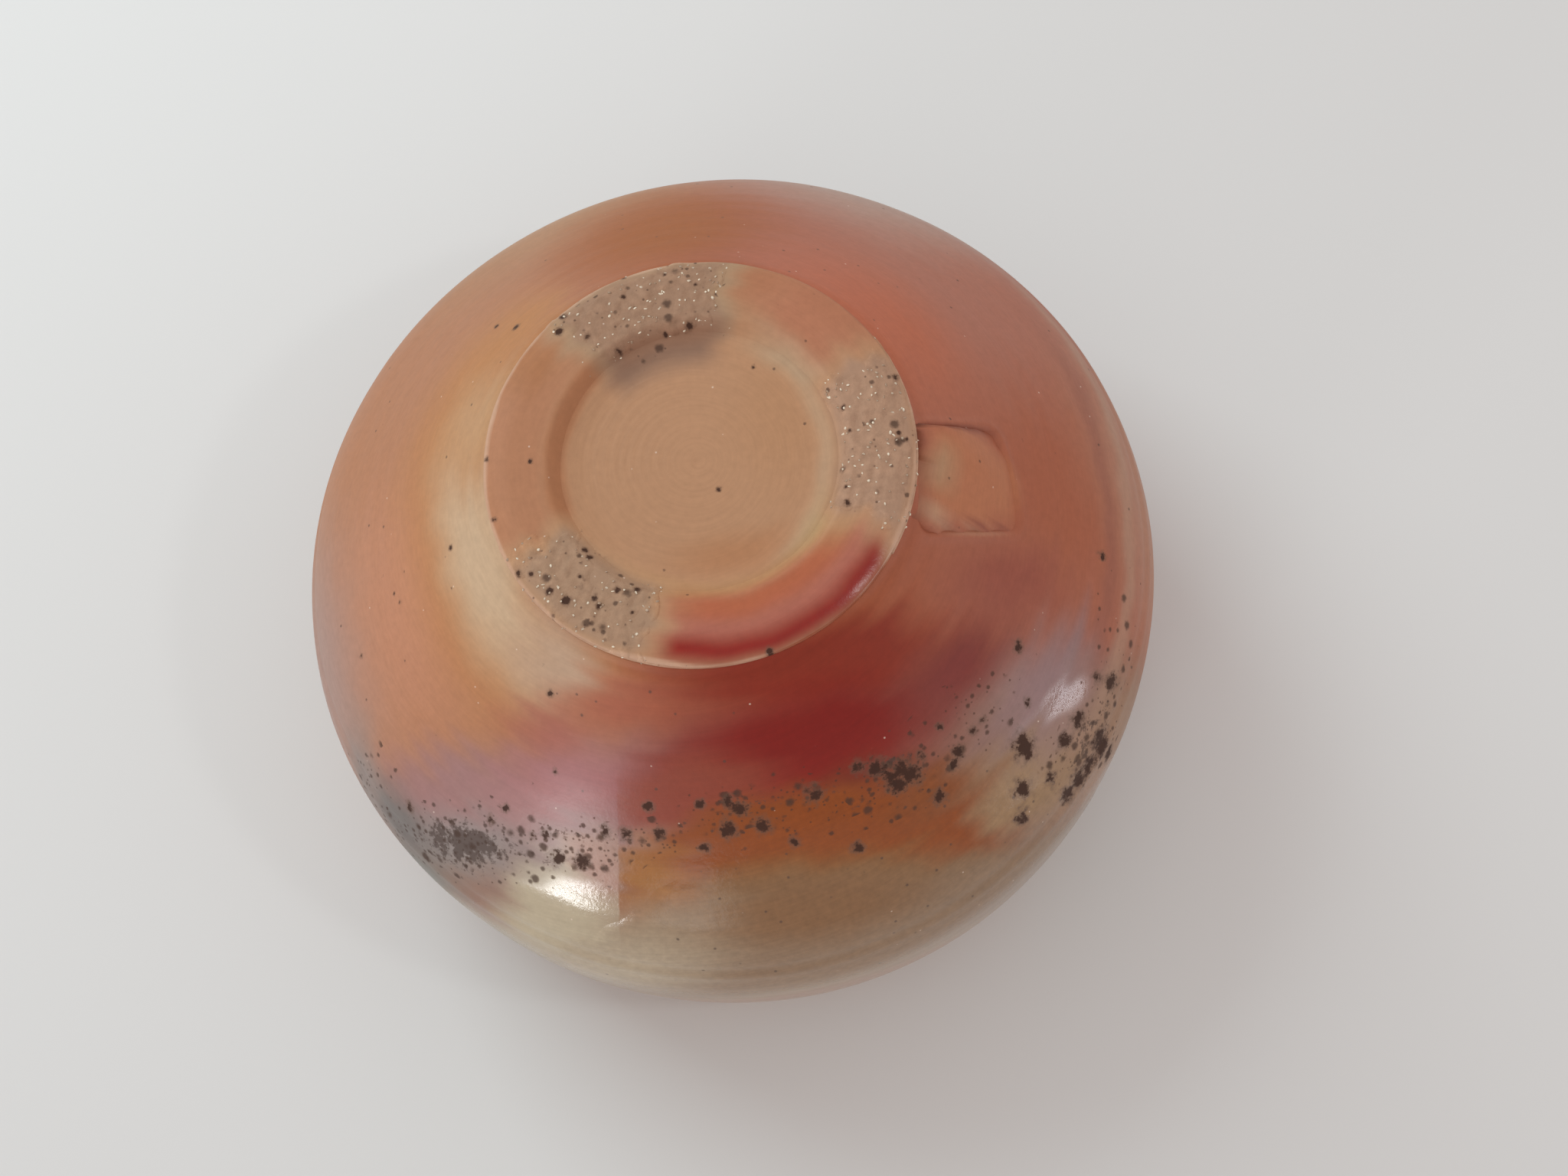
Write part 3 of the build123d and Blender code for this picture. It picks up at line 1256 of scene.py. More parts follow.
WALL_PAINT = Paint(
    base=(0.34, 0.087, 0.033),
    patches=(
        Flash("left field", -60, 10, 75, 80, (0.4, 0.18, 0.092), soft=0.5),
        Flash("right field", 70, 25, 75, 85, (0.38, 0.15, 0.1), soft=0.55),
        Flash("far tan", -22, 72, 48, 36, (0.4, 0.22, 0.12), soft=0.8),
        Flash("far pink", 38, 70, 52, 34, (0.41, 0.29, 0.24), turn=-30, soft=0.8),
        Flash("far brown", 0, 45, 26, 24, (0.32, 0.095, 0.018)),
        Flash("orange glow", 27, 17, 20, 28, (0.44, 0.13, 0.067), turn=25),
        Flash("right salmon", 55, -8, 32, 30, (0.36, 0.11, 0.056), soft=0.8),
        Flash("right edge", 80, 0, 26, 60, (0.4, 0.2, 0.13), soft=0.8),
        Flash("left belly", -72, -8, 26, 40, (0.36, 0.23, 0.19)),
        Flash("left salmon", -48, -6, 22, 30, (0.46, 0.21, 0.12)),
        Band("crescent halo", 26, 44, 180, 62, (0.43, 0.19, 0.069), 1.0, 9.0),
        Flash("crescent", -31, -6, 12, 26, (0.51, 0.36, 0.23), turn=8, soft=0.85),
        Flash("crescent top", -26, 14, 12, 13, (0.46, 0.26, 0.13), turn=40),
        Flash("crescent foot", -24, -21, 12, 10, (0.45, 0.3, 0.2), turn=-45),
        Flash("near pink", 0, -90, 200, 64, (0.26, 0.16, 0.12), 0.9, soft=0.22),
        # The lilac patches here are partly a painted sheen on the left belly.
        Flash("left lilac", -46, -37, 30, 12, (0.32, 0.17, 0.16), turn=-20, soft=0.8),
        Flash("left rose", -27, -38, 20, 11, (0.35, 0.14, 0.14), turn=-8, soft=0.8),
        Flash("lilac foot", -28, -46, 15, 7, (0.29, 0.18, 0.17), soft=0.8),
        Flash("mauve left", -28, -29, 13, 6, (0.33, 0.094, 0.076), 0.7, turn=-15),
        Flash("inner tan", -16, -29, 16, 7, (0.35, 0.1, 0.049), turn=-20),
        Flash("under the ring", 9, -29, 28, 8.5, (0.235, 0.028, 0.012), soft=0.65),
        Flash("red", 4, -41.5, 38, 14, (0.23, 0.011, 0.005), soft=0.8),
        Flash("deep red", 8, -38.5, 31, 8.5, (0.2, 0.008, 0.004), turn=4, soft=0.85),
        Flash("mauve", 30, -34, 17, 9, (0.2, 0.03, 0.021), turn=22),
        Flash("red by the line", -11, -43.5, 17, 8, (0.25, 0.047, 0.024), turn=-6, soft=0.7, side=Side.RIGHT),
        Flash("tan under the red", -19, -48.5, 8, 3.5, (0.33, 0.16, 0.1), 0.8, side=Side.RIGHT),
        Flash("burnt middle", 14, -46.5, 15, 4.5, (0.17, 0.026, 0.008), 0.8),
        Flash("salmon right", 40, -23, 16, 9, (0.3, 0.083, 0.052)),
        # This lilac patch is partly a painted sheen on the right belly.
        Flash("lilac right", 47, -38, 17, 12, (0.27, 0.16, 0.16), turn=40),
        Flash("spotted tan", 60, -50, 26, 22, (0.31, 0.18, 0.11), turn=30, soft=0.8),
        Flash("right tan", 38, -53, 18, 10, (0.31, 0.19, 0.098), soft=0.8),
        # Near the belly's right edge: a band of painted shade, and a pale band outside it that is a painted
        # sheen.
        Band("rim shade", 63, 65.5, -8, 26, (0.27, 0.1, 0.07), 0.5, 1.0, 14),
        Band("painted sheen by the rim", 67.5, 70, -4, 36, (0.42, 0.26, 0.18), 0.55, 1.0, 14),
        Flash("bare in the stamp", 35.5, -7.8, 10.8, 8.2, (0.46, 0.18, 0.085), 0.75, turn=-4, soft=0.35),
        Flash("olive in the stamp", 29.3, -6.0, 2.6, 5.5, (0.4, 0.26, 0.15), 0.75, soft=0.7),
        # Painted light in the stamp: a painted highlight on its pale foot, painted shade along its top edge,
        # a painted highlight along its pale low edge, and painted shade just inside that edge.
        Flash("painted highlight at the stamp's foot", 28.2, -12.8, 2.2, 2.6, (0.5, 0.31, 0.19), 0.7),
        Flash("shade in the stamp", 36.0, -0.7, 9.0, 1.0, (0.21, 0.06, 0.035), 0.9, turn=5),
        Flash("painted highlight on the stamp's low edge", 35.0, -15.4, 8.5, 0.7, (0.46, 0.24, 0.15), 0.6, turn=-1),
        Flash("painted shade by the stamp's low edge", 37.7, -14.5, 5.0, 0.7, (0.22, 0.06, 0.04), 0.8, turn=-1),
        Flash("amber", 2, -72, 44, 28, (0.25, 0.058, 0.007), soft=0.16, side=Side.RIGHT),
        Flash("amber right", 26, -50, 14, 7, (0.23, 0.065, 0.015)),
        Flash("amber left", -20, -54, 10, 8, (0.33, 0.13, 0.026), side=Side.RIGHT),
        Flash("ochre", 2, -82, 60, 28.5, (0.24, 0.11, 0.028), soft=0.22, side=Side.RIGHT),
        Flash("putty", 0, -120, 300, 64.5, (0.24, 0.15, 0.087), soft=0.13),
        Flash("olive", 2, -63, 30, 8, (0.22, 0.112, 0.049), soft=0.8),
        Flash("low putty", 0, -150, 300, 76, (0.32, 0.23, 0.14), soft=0.2),
        Flash("foot putty", 0, -160, 300, 78, (0.31, 0.17, 0.1), soft=0.1),
        Flash("left foot grey", -66, -46, 16, 13, (0.17, 0.16, 0.14), turn=-35),
        Flash("low left edge", -60, -64, 26, 13, (0.29, 0.23, 0.12), turn=-40),
        Flash("putty left", -34, -68, 30, 16, (0.4, 0.32, 0.22), turn=10),
        # Pale glaze left of the sharp line, lightened by a painted glow round the left highlight.
        Flash("pale left", -38, -56, 22, 11, (0.46, 0.39, 0.27), turn=22, soft=0.7, side=Side.LEFT),
        Flash("tan by the line", -27, -50, 10, 8, (0.37, 0.21, 0.16), soft=0.8, side=Side.LEFT),
        Flash("grey patch", -50, -43, 19, 8, (0.25, 0.25, 0.24), 0.7, turn=-22, soft=0.9),
        Flash("grey tail", -62, -35, 14, 9, (0.17, 0.15, 0.14), turn=-50, soft=0.8),
        Flash("grey edge", -68, -28, 9, 16, (0.26, 0.21, 0.19), turn=-20),
    ),
    matt=0.28,
    gloss=(
        Flash("satin low", 0, -125, 300, 98, (0.55,), soft=0.2),
        Flash("ash", 0, -119, 300, 70, (0.95,), soft=0.08),
        Flash("left sheen", -29, -43, 22, 10, (0.6,), turn=-12, soft=0.8),
        Flash("right sheen", 44, -38, 18, 12, (0.5,), turn=47, soft=0.8),
        Flash("right streak", 47.6, -39.8, 10, 2.8, (0.98,), turn=31, soft=0.6),
        Flash("dull grey", -52, -43, 18, 8, (0.35,), turn=-22, soft=0.5),
        Flash("left ash", -33, -57, 16, 7, (0.95,), turn=-6, soft=0.5),
    ),
    speckle=(
        Flash("middle spots", 3, -48.5, 34, 5.5, (0.5,), soft=0.7),
        Flash("middle cluster", 19, -46, 8, 4.5, (0.72,), turn=10, soft=0.7),
        Flash("left cluster", -27, -47, 17, 6, (0.5,), turn=-8, soft=0.7),
        Flash("grey spots", -50, -43, 20, 8.5, (0.9,), turn=-22, soft=0.9),
        Flash("far left spots", -66, -30, 10, 14, (0.3,), turn=-25, soft=0.8),
        Flash("right cluster", 53, -47, 14, 9, (0.72,), turn=48, soft=0.7),
        Flash("right spots", 60, -32, 9, 16, (0.15,), turn=-20, soft=0.8),
        Flash("mauve spots", 30, -42, 14, 7, (0.42,), turn=20, soft=0.8),
    ),
    spots=(
        (-10, -45, 0.7), (-7, -49.5, 1.3), (-4.5, -47, 1.1), (-2, -50, 1.2), (-6, -45.5, 0.8),
        (-22, -47, 1.0), (-17, -48, 0.9), (-17.5, -44, 0.8), (-25, -46, 0.9), (-34, -48, 1.2),
        (-30, -49.3, 1.2), (-34.5, -44.5, 0.8), (-11, -51.5, 0.8), (6, -47, 1.3), (2, -53, 0.8),
        (11, -56, 1.0), (13, -44.5, 1.0), (15.5, -45, 1.3), (17.5, -47, 1.3), (19, -46, 1.2),
        (21, -47, 1.5), (18.5, -48.3, 1.3), (22.5, -45, 0.8), (24.5, -51, 1.1), (28.5, -45, 1.0),
        (27.5, -46.8, 0.9), (31, -42.5, 0.7), (39.5, -46, 1.9), (38.5, -52, 1.5), (38, -56.3, 1.3),
        (44, -51.5, 1.1), (47, -46, 1.2), (50, -43, 1.3), (55, -47, 2.0), (58, -38, 1.5),
        (54.5, -37, 0.9), (50.5, -52.7, 2.0), (48, -54.8, 1.7), (52.7, -51, 1.6), (56, -48.5, 1.9),
        (59, -50, 1.4), (40.4, -31.5, 0.9), (59, -18, 0.8), (41, -39.5, 0.7), (33, -41, 0.6),
        (26, -41, 0.6), (-29.5, -36, 0.5), (-40, -39, 0.7), (-43, -40, 0.7), (-37, -44, 0.6),
        (-58, -34, 0.9), (-26, 33, 0.5), (-22, 29, 0.5), (-36, -2, 0.4), (-49, -5, 0.4), (-50, -3, 0.35),
        (-60, -9, 0.5), (-26, -25.5, 0.5),
    ),
    calm=Flash("stamp", 36, -7.5, 17, 15, (0.0,), soft=0.35),
)

FOOT_PAINT = Paint(
    base=(0.41, 0.22, 0.12),
    patches=(
        Band("recess floor", 0, 17.0, 0, 180, (0.45, 0.25, 0.14), 1.0, 0.9),
        Flash("floor right", 11, 3, 9, 14, (0.43, 0.23, 0.12), 0.7),
        Flash("floor low", 2, -13, 13, 5, (0.42, 0.2, 0.096), 0.8),
        Band("recess wall left", 16.6, 19.4, 155, 52, (0.39, 0.17, 0.081), 0.85, 0.8, 10),
        Band("recess wall right", 15.4, 19.2, -5, 58, (0.43, 0.3, 0.19), 0.9, 1.3, 14),
        Band("recess wall low", 16.2, 18.6, -88, 40, (0.46, 0.25, 0.12), 0.8, 1.0, 14),
        Band("left salmon", 19.3, 28.0, 165, 36, (0.41, 0.19, 0.1), 0.95, 1.4, 14),
        Flash("far left pale", -18.5, 17.5, 6.5, 5, (0.37, 0.16, 0.069), 0.9, turn=45),
        Flash("far right pale", 12, 21, 5.5, 5.5, (0.39, 0.17, 0.088), 0.9),
        Band("far right salmon", 18.5, 28, 40, 17, (0.42, 0.17, 0.096), 0.9, 2.6, 12),
        Band("right tan", 16, 22, -42, 14, (0.47, 0.31, 0.15), 0.8, 2.2, 10),
        Band("low orange", 18.2, 22.4, -76, 34, (0.42, 0.12, 0.057), 0.95, 1.5, 14),
        # The pink band is partly a painted sheen on the flat top of the ring.
        Band("low pink", 21.4, 25.0, -76, 37, (0.39, 0.12, 0.081), 0.95, 1.5, 12),
        Band("dark red", 24.0, 26.6, -78, 40, (0.25, 0.012, 0.006), 1.0, 1.3, 9),
        Band("far wad halo", 16.4, 28, 98, 30, (0.38, 0.26, 0.16), 0.8, 1.5, 5),
        Band("right wad halo", 16.2, 28, -7.5, 31.5, (0.45, 0.25, 0.14), 0.8, 1.3, 5),
        Band("near wad halo", 16.6, 28, -139, 27, (0.46, 0.27, 0.15), 0.8, 1.5, 5),
        Band("haze on the floor", 13.2, 19.0, 98, 27, (0.23, 0.14, 0.1), 0.9, 2.4, 8),
        Band("haze on the slope", 15.6, 18.2, 96, 24, (0.27, 0.14, 0.084), 0.9, 1.4, 8),
        Band("far wad", 17.8, 26.6, 98, 25, (0.33, 0.2, 0.13), 0.95, 1.1, 3),
        Band("right wad", 17.4, 26.7, -7.5, 26.5, (0.39, 0.24, 0.16), 0.95, 0.9, 3),
        Band("near wad", 17.8, 26.6, -139, 22, (0.36, 0.23, 0.15), 0.95, 1.0, 3),
        # The pale line along the ring's crisp edge is a painted highlight.
        Band("crisp edge", 26.75, 28.0, 0, 180, (0.56, 0.36, 0.25), 0.75, 0.2),
    ),
    matt=0.15,
    gloss=(
        Band("glossy roll", 22.5, 28.0, -72, 40, (0.8,), 1.0, 1.6, 12),
    ),
    speckle=(
        Band("far wad spots", 14.5, 27, 98, 26, (0.1,), 1.0, 1.0, 4),
        Band("right wad spots", 17, 27, -7.5, 27, (0.06,), 1.0, 1.0, 4),
        Band("near wad spots", 17, 27, -139, 22, (0.1,), 1.0, 1.0, 4),
    ),
    spots=(
        (-14.3, 20.6, 0.55), (-13.4, 22.7, 0.5), (-10.8, 19.0, 0.45), (-7.2, 16.2, 0.45),
        (2.2, 17.8, 0.4), (-5.3, 23.3, 0.35), (-1, 17.5, 0.3), (-4.8, 26.7, 0.35), (9, 11, 0.35),
        (1.7, -4.3, 0.35), (-26, 5.6, 0.35), (-26.2, -2.5, 0.35), (-24.4, -10.2, 0.45),
        (-22.8, -10.8, 0.4), (-21, -13.4, 0.5), (-19.2, -15.2, 0.6), (-15.9, -9.0, 0.35),
        (-15.5, -10.2, 0.35), (-15.6, -15.5, 0.4), (-12.8, -15.3, 0.4), (-10.4, -15.7, 0.45),
        (-15.4, -16.8, 0.35), (-11.5, -18.5, 0.3), (26, 5, 0.5), (24.8, -2.6, 0.35), (25.6, -3.6, 0.3),
        (17.0, -8.2, 0.35), (16.8, -10.3, 0.4), (18.8, 2.2, 0.35), (19.0, -1.0, 0.3), (3.7, -26.5, 0.42),
        (0.4, 25.4, 0.3), (4, 23, 0.25), (-20.6, 3.8, 0.3), (-17, -12.5, 0.35),
    ),
    wander=0.45,
)


@dataclass
class Bowl:
    """Body of the bowl, with its slip and its ash.

    Attributes:
        profile: Section of the wall.
        wall: Marks on its outer face.
        forms: The tree that turns sections.
        segments: How many faces go round the body.
        slip_segments: How many faces go round the slip.
        ash_azimuth: Middle of the ash.
        ash_drop: How far below the belly's height the ball that bounds the ash has its centre.
        ash_reach: Radius of this ball.
        ash_thickness: How far the ash stands above the slip at its middle.
        ash_root: How far its lower face lies inside the slip.
        ash_edge: How its edge wanders.
        bed_radius: Radius of the part of the base that shows inside the ring.
        spiral: Height of the turning lines there.
        spiral_step: Distance from one turning line to the next.
        worn: How unevenly they are worn, as a share.
        bank: Height of the soft bank at the foot of the ring's slope.
        bed_lumps: Unevenness of the base.
    """

    profile: BowlProfile
    wall: ThrownWall
    forms: TurnedForm
    segments: int = 384
    slip_segments: int = 512
    ash_azimuth: float = radians(-84.0)
    ash_drop: float = 18.0 * MM
    ash_reach: float = 48.0 * MM
    ash_thickness: float = 0.09 * MM
    ash_root: float = 0.3 * MM
    ash_edge: tuple[Lumps, ...] = (Lumps(2.0 * MM, 9.0 * MM, 3), Lumps(0.8 * MM, 2.5 * MM, 4))
    bed_radius: float = 17.5 * MM
    spiral: float = 0.016 * MM
    spiral_step: float = 1.1 * MM
    worn: Lumps = Lumps(0.5, 14.0 * MM, 9)
    bank: float = 0.62 * MM
    bed_lumps: Lumps = Lumps(0.04 * MM, 9.0 * MM, 8)

    def body_section(self) -> np.ndarray:
        """Section of the clay, from the middle of the base round to the middle of the well.

        Returns:
            Array of radius and height.
        """
        form = self.profile
        base = np.array([[0.0, form.base_height], [self.bed_radius, form.base_height]])
        lip = form.lip_line()
        outer = form.outline(form.slip, lip[0, 1], form.base_height, step=1.5 * MM)
        well = form.base_height - form.base
        inner = form.outline(form.wall, lip[-1, 1], well - 2.6 * MM, step=1.2 * MM)[::-1]
        rise = form.shoulder_height(0.0, form.wall + form.well_edge) - (well - form.well_edge)
        middle = (rise * tan(form.belly_angle), well - form.well_edge)
        corner = spaced(arc(middle, form.well_edge, form.belly_angle, pi / 2), 0.8 * MM)
        inner = inner[inner[:, 1] < corner[0, 1] - 0.2 * MM]
        floor = spaced(np.array([[middle[0], well], [0.0, well]]), 1.5 * MM)
        return np.vstack([spaced(base, 0.3 * MM), outer, lip[1:], inner[1:], corner, floor[1:]])

    def slip_section(self) -> np.ndarray:
        """Section of the slip, a thin closed loop outside the clay, finest on the upper shoulder.

        Returns:
            Array of radius and height, back to its start.
        """
        form = self.profile
        split = form.base_height - 13.0 * MM
        near = form.outline(0.0, split, form.base_height, step=0.34 * MM)
        outer = np.vstack([near[:-1], form.outline(0.0, form.slip_low, split, step=0.66 * MM)])
        inner = form.outline(form.slip, form.slip_low, form.base_height, step=4.0 * MM)[::-1]
        return np.vstack([outer, inner, outer[:1]])

    def bed_relief(self, points: np.ndarray) -> np.ndarray:
        """Turning marks on the base inside the ring, and the stamp's hollow under the slip.

        Args:
            points: Places on the clay.

        Returns:
            Array of moves outwards.
        """
        form = self.profile
        radius = np.hypot(points[:, 0], points[:, 1])
        azimuth = np.arctan2(points[:, 1], points[:, 0])
        on_base = (points[:, 2] > form.base_height - 0.05 * MM) & (radius < self.bed_radius + 0.1 * MM)
        spiral = radius + azimuth / tau * self.spiral_step
        worn = 0.5 + self.worn.at(points)
        turned = np.sin(spiral * tau / self.spiral_step) * smooth(1.0 * MM, 4.0 * MM, radius)
        rings = self.spiral * worn * turned
        bank = self.bank * smooth(13.2 * MM, 17.2 * MM, radius) ** 1.6
        base = rings + bank + self.bed_lumps.at(points)
        inset = form.slip + 0.02 * MM
        outside = (points[:, 2] > form.belly_height) & (radius > form.base_radius - inset * 1.6)
        hollow = np.where(outside, np.minimum(self.wall.stamp.relief(points, form), 0.0), 0.0)
        inside = (points[:, 2] < form.base_height - 5.0 * MM) & (radius < 30.0 * MM)
        hollow = np.where(inside, 0.0, hollow)
        return np.where(on_base, base, hollow)

    def ash_patch(self, material: bpy.types.Material) -> bpy.types.Object:
        """Ash glaze: a thin layer that thins out to nothing and dips under the slip at its edge.

        Args:
            material: What it is made of.

        Returns:
            The piece.
        """
        form = self.profile
        inner_radius = 38.0 * MM
        first_angle, last_angle = -146.0, -21.0
        line = form.outline(0.0, form.slip_low, form.base_height, step=0.05 * MM)
        line = spaced(line[line[:, 0] > inner_radius], 0.7 * MM)
        sweep = np.radians(np.arange(first_angle, last_angle, 0.7))
        azimuth = np.repeat(sweep[:, None], len(line), 1)
        radius = np.repeat(line[None, :, 0], len(sweep), 0)
        height = np.repeat(line[None, :, 1], len(sweep), 0)
        points = polar(azimuth, radius, height)
        slope = np.gradient(line, axis=0)
        slope /= np.hypot(slope[:, 0], slope[:, 1])[:, None]
        normal = polar(azimuth, -slope[:, 1], slope[:, 0])
        flat = points.reshape(-1, 3)
        belly_r, belly_z = form.belly_radius, form.belly_height
        middle = np.array(
            [belly_r * cos(self.ash_azimuth), belly_r * sin(self.ash_azimuth), belly_z - self.ash_drop]
        )
        away = np.linalg.norm(flat - middle, axis=1) - self.ash_reach
        away += sum(lumps.at(flat) for lumps in self.ash_edge)
        thinned = 0.17 * MM * smooth(-4.0 * MM, 1.0 * MM, away) + 0.1 * MM * smooth(0.0, 3.0 * MM, away)
        thick = self.ash_thickness - thinned
        marks = self.wall.relief(flat)
        move = (thick + marks).reshape(azimuth.shape)[..., None]
        under = (marks - self.ash_root).reshape(azimuth.shape)[..., None]
        return padded_shell("ash_layer", points + normal * move, points + normal * under, material)

    def build(self, clay: bpy.types.Material, slip: bpy.types.Material, ash: bpy.types.Material) -> None:
        """Makes the pieces.

        Args:
            clay: What the body is made of.
            slip: What the slip is made of.
            ash: What the ash is made of.
        """
        body = self.forms.turn("thrown_body", self.body_section(), self.segments, clay)
        FOOT_PAINT.lay(body, self.profile)
        sculpted(body, self.bed_relief)
        seated(body, Slot.CLAY, "bowl_body")
        coat = self.forms.turn("slip_layer", self.slip_section(), self.slip_segments, slip)
        WALL_PAINT.lay(coat, self.profile)
        sculpted(coat, self.wall.relief)
        seated(coat, Slot.SLIP, "slip_coat")
        layer = self.ash_patch(ash)
        WALL_PAINT.lay(layer, self.profile)
        seated(layer, Slot.ASH, "ash_glaze")


@dataclass(frozen=True)
class WadScar:
    """What is left of one kiln wad on the ring.

    Attributes:
        node: Node of the model that it stands for.
        azimuth: Angle of its middle.
        sweep: Angle that it spans.
        inner: Its inner radius.
        outer: Its outer radius.
        seed: Number that picks its rough outline.
        proud: How far it stands above the ring's own surface.
        dip: How far it drops at its edge.
        rough: Height and width of its lumps: two kinds along its outline, then two on its face.
    """

    node: str
    azimuth: float
    sweep: float
    inner: float
    outer: float
    seed: int
    proud: float = 0.09 * MM
    dip: float = 0.36 * MM
    rough: tuple[tuple[float, float], ...] = (
        (0.7 * MM, 3.2 * MM),
        (0.3 * MM, 1.0 * MM),
        (0.07 * MM, 1.9 * MM),
        (0.06 * MM, 0.7 * MM),
    )

    def piece(self, ring: RingProfile, material: bpy.types.Material) -> bpy.types.Object:
        """Rough patch that dips under the ring's surface at its edge.

        Args:
            ring: Section of the ring.
            material: What it is made of.

        Returns:
            The piece.
        """
        sweep = np.linspace(-0.5, 0.5, 150) * (self.sweep + radians(10.0)) + self.azimuth
        span = np.linspace(self.inner - 1.2 * MM, self.outer + 0.5 * MM, 62)
        azimuth, radius = np.meshgrid(sweep, span, indexing="ij")
        top = polar(azimuth, radius, ring.height(radius))
        flat = top.reshape(-1, 3)
        out_radius = np.hypot(flat[:, 0], flat[:, 1])
        side = (np.arctan2(flat[:, 1], flat[:, 0]) - self.azimuth + pi) % tau - pi
        middle_radius = 22.0 * MM
        edge = np.maximum(
            (np.abs(side) - self.sweep / 2) * middle_radius,
            np.maximum(self.inner - out_radius, out_radius - self.outer),
        )
        torn, frayed, lumpy, gritty = (
            Lumps(height, size, self.seed + kind).at(flat) for kind, (height, size) in enumerate(self.rough)
        )
        edge += torn + frayed
        rise = self.proud + (lumpy + gritty) - self.dip * smooth(-0.6 * MM, 0.3 * MM, edge)
        top[..., 2] += rise.reshape(azimuth.shape)
        bottom = polar(azimuth, radius, np.minimum(ring.height(radius) - 0.6 * MM, ring.top - 0.9 * MM))
        return padded_shell(self.node.replace("scar", "clay"), top, bottom, material)


class QuartzGrains(FormTree):
    """Tree that scatters small grains over the upper faces of a wad."""

    def __init__(self) -> None:
        """Builds the tree: points on the upper faces, and a flat grain on each."""
        inputs = {
            "Wad": "NodeSocketGeometry",
            "Rate": "NodeSocketFloat",
            "Seed": "NodeSocketInt",
            "Size": "NodeSocketFloat",
            "Material": "NodeSocketMaterial",
        }
        super().__init__("quartz_grains", inputs)
        points = self.node("GeometryNodeDistributePointsOnFaces")
        self.feed(points.inputs["Mesh"], self.start["Wad"])
        self.feed(points.inputs["Density"], self.start["Rate"])
        self.feed(points.inputs["Seed"], self.start["Seed"])
        split = self.node("ShaderNodeSeparateXYZ")
        self.feed(split.inputs[0], self.node("GeometryNodeInputNormal").outputs["Normal"])
        upward = self.node("FunctionNodeCompare", data_type="FLOAT", operation="GREATER_THAN")
        self.feed(upward.inputs["A"], split.outputs["Z"])
        upward.inputs["B"].default_value = 0.5
        self.feed(points.inputs["Selection"], upward.outputs["Result"])
        grain = self.node("GeometryNodeMeshIcoSphere")
        grain.inputs["Subdivisions"].default_value = 1
        self.feed(grain.inputs["Radius"], self.start["Size"])
        place = self.node("GeometryNodeInstanceOnPoints")
        self.feed(place.inputs["Points"], points.outputs["Points"])
        self.feed(place.inputs["Instance"], grain.outputs["Mesh"])
        self.feed(place.inputs["Rotation"], self.drawn((-0.6, -0.6, 0.0), (0.6, 0.6, tau), 3))
        self.feed(place.inputs["Scale"], self.drawn((0.5, 0.4, 0.25), (1.5, 1.0, 0.7), 4))
        self.finish(place.outputs["Instances"])

    def drawn(self, low: tuple[float, ...], high: tuple[float, ...], seed: int) -> bpy.types.NodeSocket:
        """Adds a random vector for each grain.

        Args:
            low: Its least value.
            high: Its greatest value.
            seed: Number that picks it.

        Returns:
            The vector.
        """
        node = self.node("FunctionNodeRandomValue", data_type="FLOAT_VECTOR")
        ends = [socket for socket in node.inputs if socket.enabled]
        self.feed(ends[0], low)
        self.feed(ends[1], high)
        node.inputs["Seed"].default_value = seed
        return next(socket for socket in node.outputs if socket.enabled)

    def scatter(
        self, wad: bpy.types.Object, name: str, seed: int, material: bpy.types.Material
    ) -> bpy.types.Object:
        """Scatters grains over a wad.

        Args:
            wad: The wad.
            name: Name of the grains.
            seed: Number that picks their places.
            material: What they are made of.

        Returns:
            The grains, a plain mesh.
        """
        per_square_metre = 5.0e5
        values = {"Rate": per_square_metre, "Seed": seed, "Size": 0.22 * MM, "Material": material}
        return self.made(name, wad.data, values)


@dataclass
class FootRing:
    """The low ring and the three wad scars on it.

    Attributes:
        profile: Section of the ring.
        bowl: Section of the wall under it.
        forms: The tree that turns sections.
        scars: The wad scars.
        segments: How many faces go round.
        sponged: Unevenness that the sponge left.
    """

    profile: RingProfile
    bowl: BowlProfile
    forms: TurnedForm
    scars: tuple[WadScar, ...]
    segments: int = 512
    sponged: Lumps = Lumps(0.035 * MM, 5.0 * MM, 11)

    def section(self) -> np.ndarray:
        """Section of the ring, a closed loop.

        Returns:
            Array of radius and height, back to its start.
        """
        form = self.profile
        upper = spaced(form.upper_line(), 0.28 * MM)
        side = spaced(np.array([[form.radius, form.base], upper[0]]), 0.2 * MM)
        under = spaced(np.array([[form.recess_radius, form.base], [form.radius, form.base]]), 2.0 * MM)
        return np.vstack([side[:-1], upper, under[1:]])

    def relief(self, points: np.ndarray) -> np.ndarray:
        """Moves outwards of places on the ring, for the marks of the sponge."""
        above = points[:, 2] > self.profile.base + 0.3 * MM
        return np.where(above, self.sponged.at(points), 0.0)

    def build(self, clay: bpy.types.Material, wad: bpy.types.Material, quartz: bpy.types.Material) -> None:
        """Makes the pieces.

        Args:
            clay: What the ring is made of.
            wad: What the wads are made of.
            quartz: What the grains in the wads are made of.
        """
        ring = self.forms.turn("foot_ring_clay", self.section(), self.segments, clay)
        FOOT_PAINT.lay(ring, self.bowl)
        sculpted(ring, self.relief)
        seated(ring, Slot.RING_CLAY, "foot_ring")
        grit = QuartzGrains()
        for scar in self.scars:
            patch = scar.piece(self.profile, wad)
            FOOT_PAINT.lay(patch, self.bowl)
            seated(patch, Slot.WAD, scar.node)
            grains = grit.scatter(patch, patch.name + "_grains", scar.seed, quartz)
            seated(grains, Slot.WAD, scar.node)


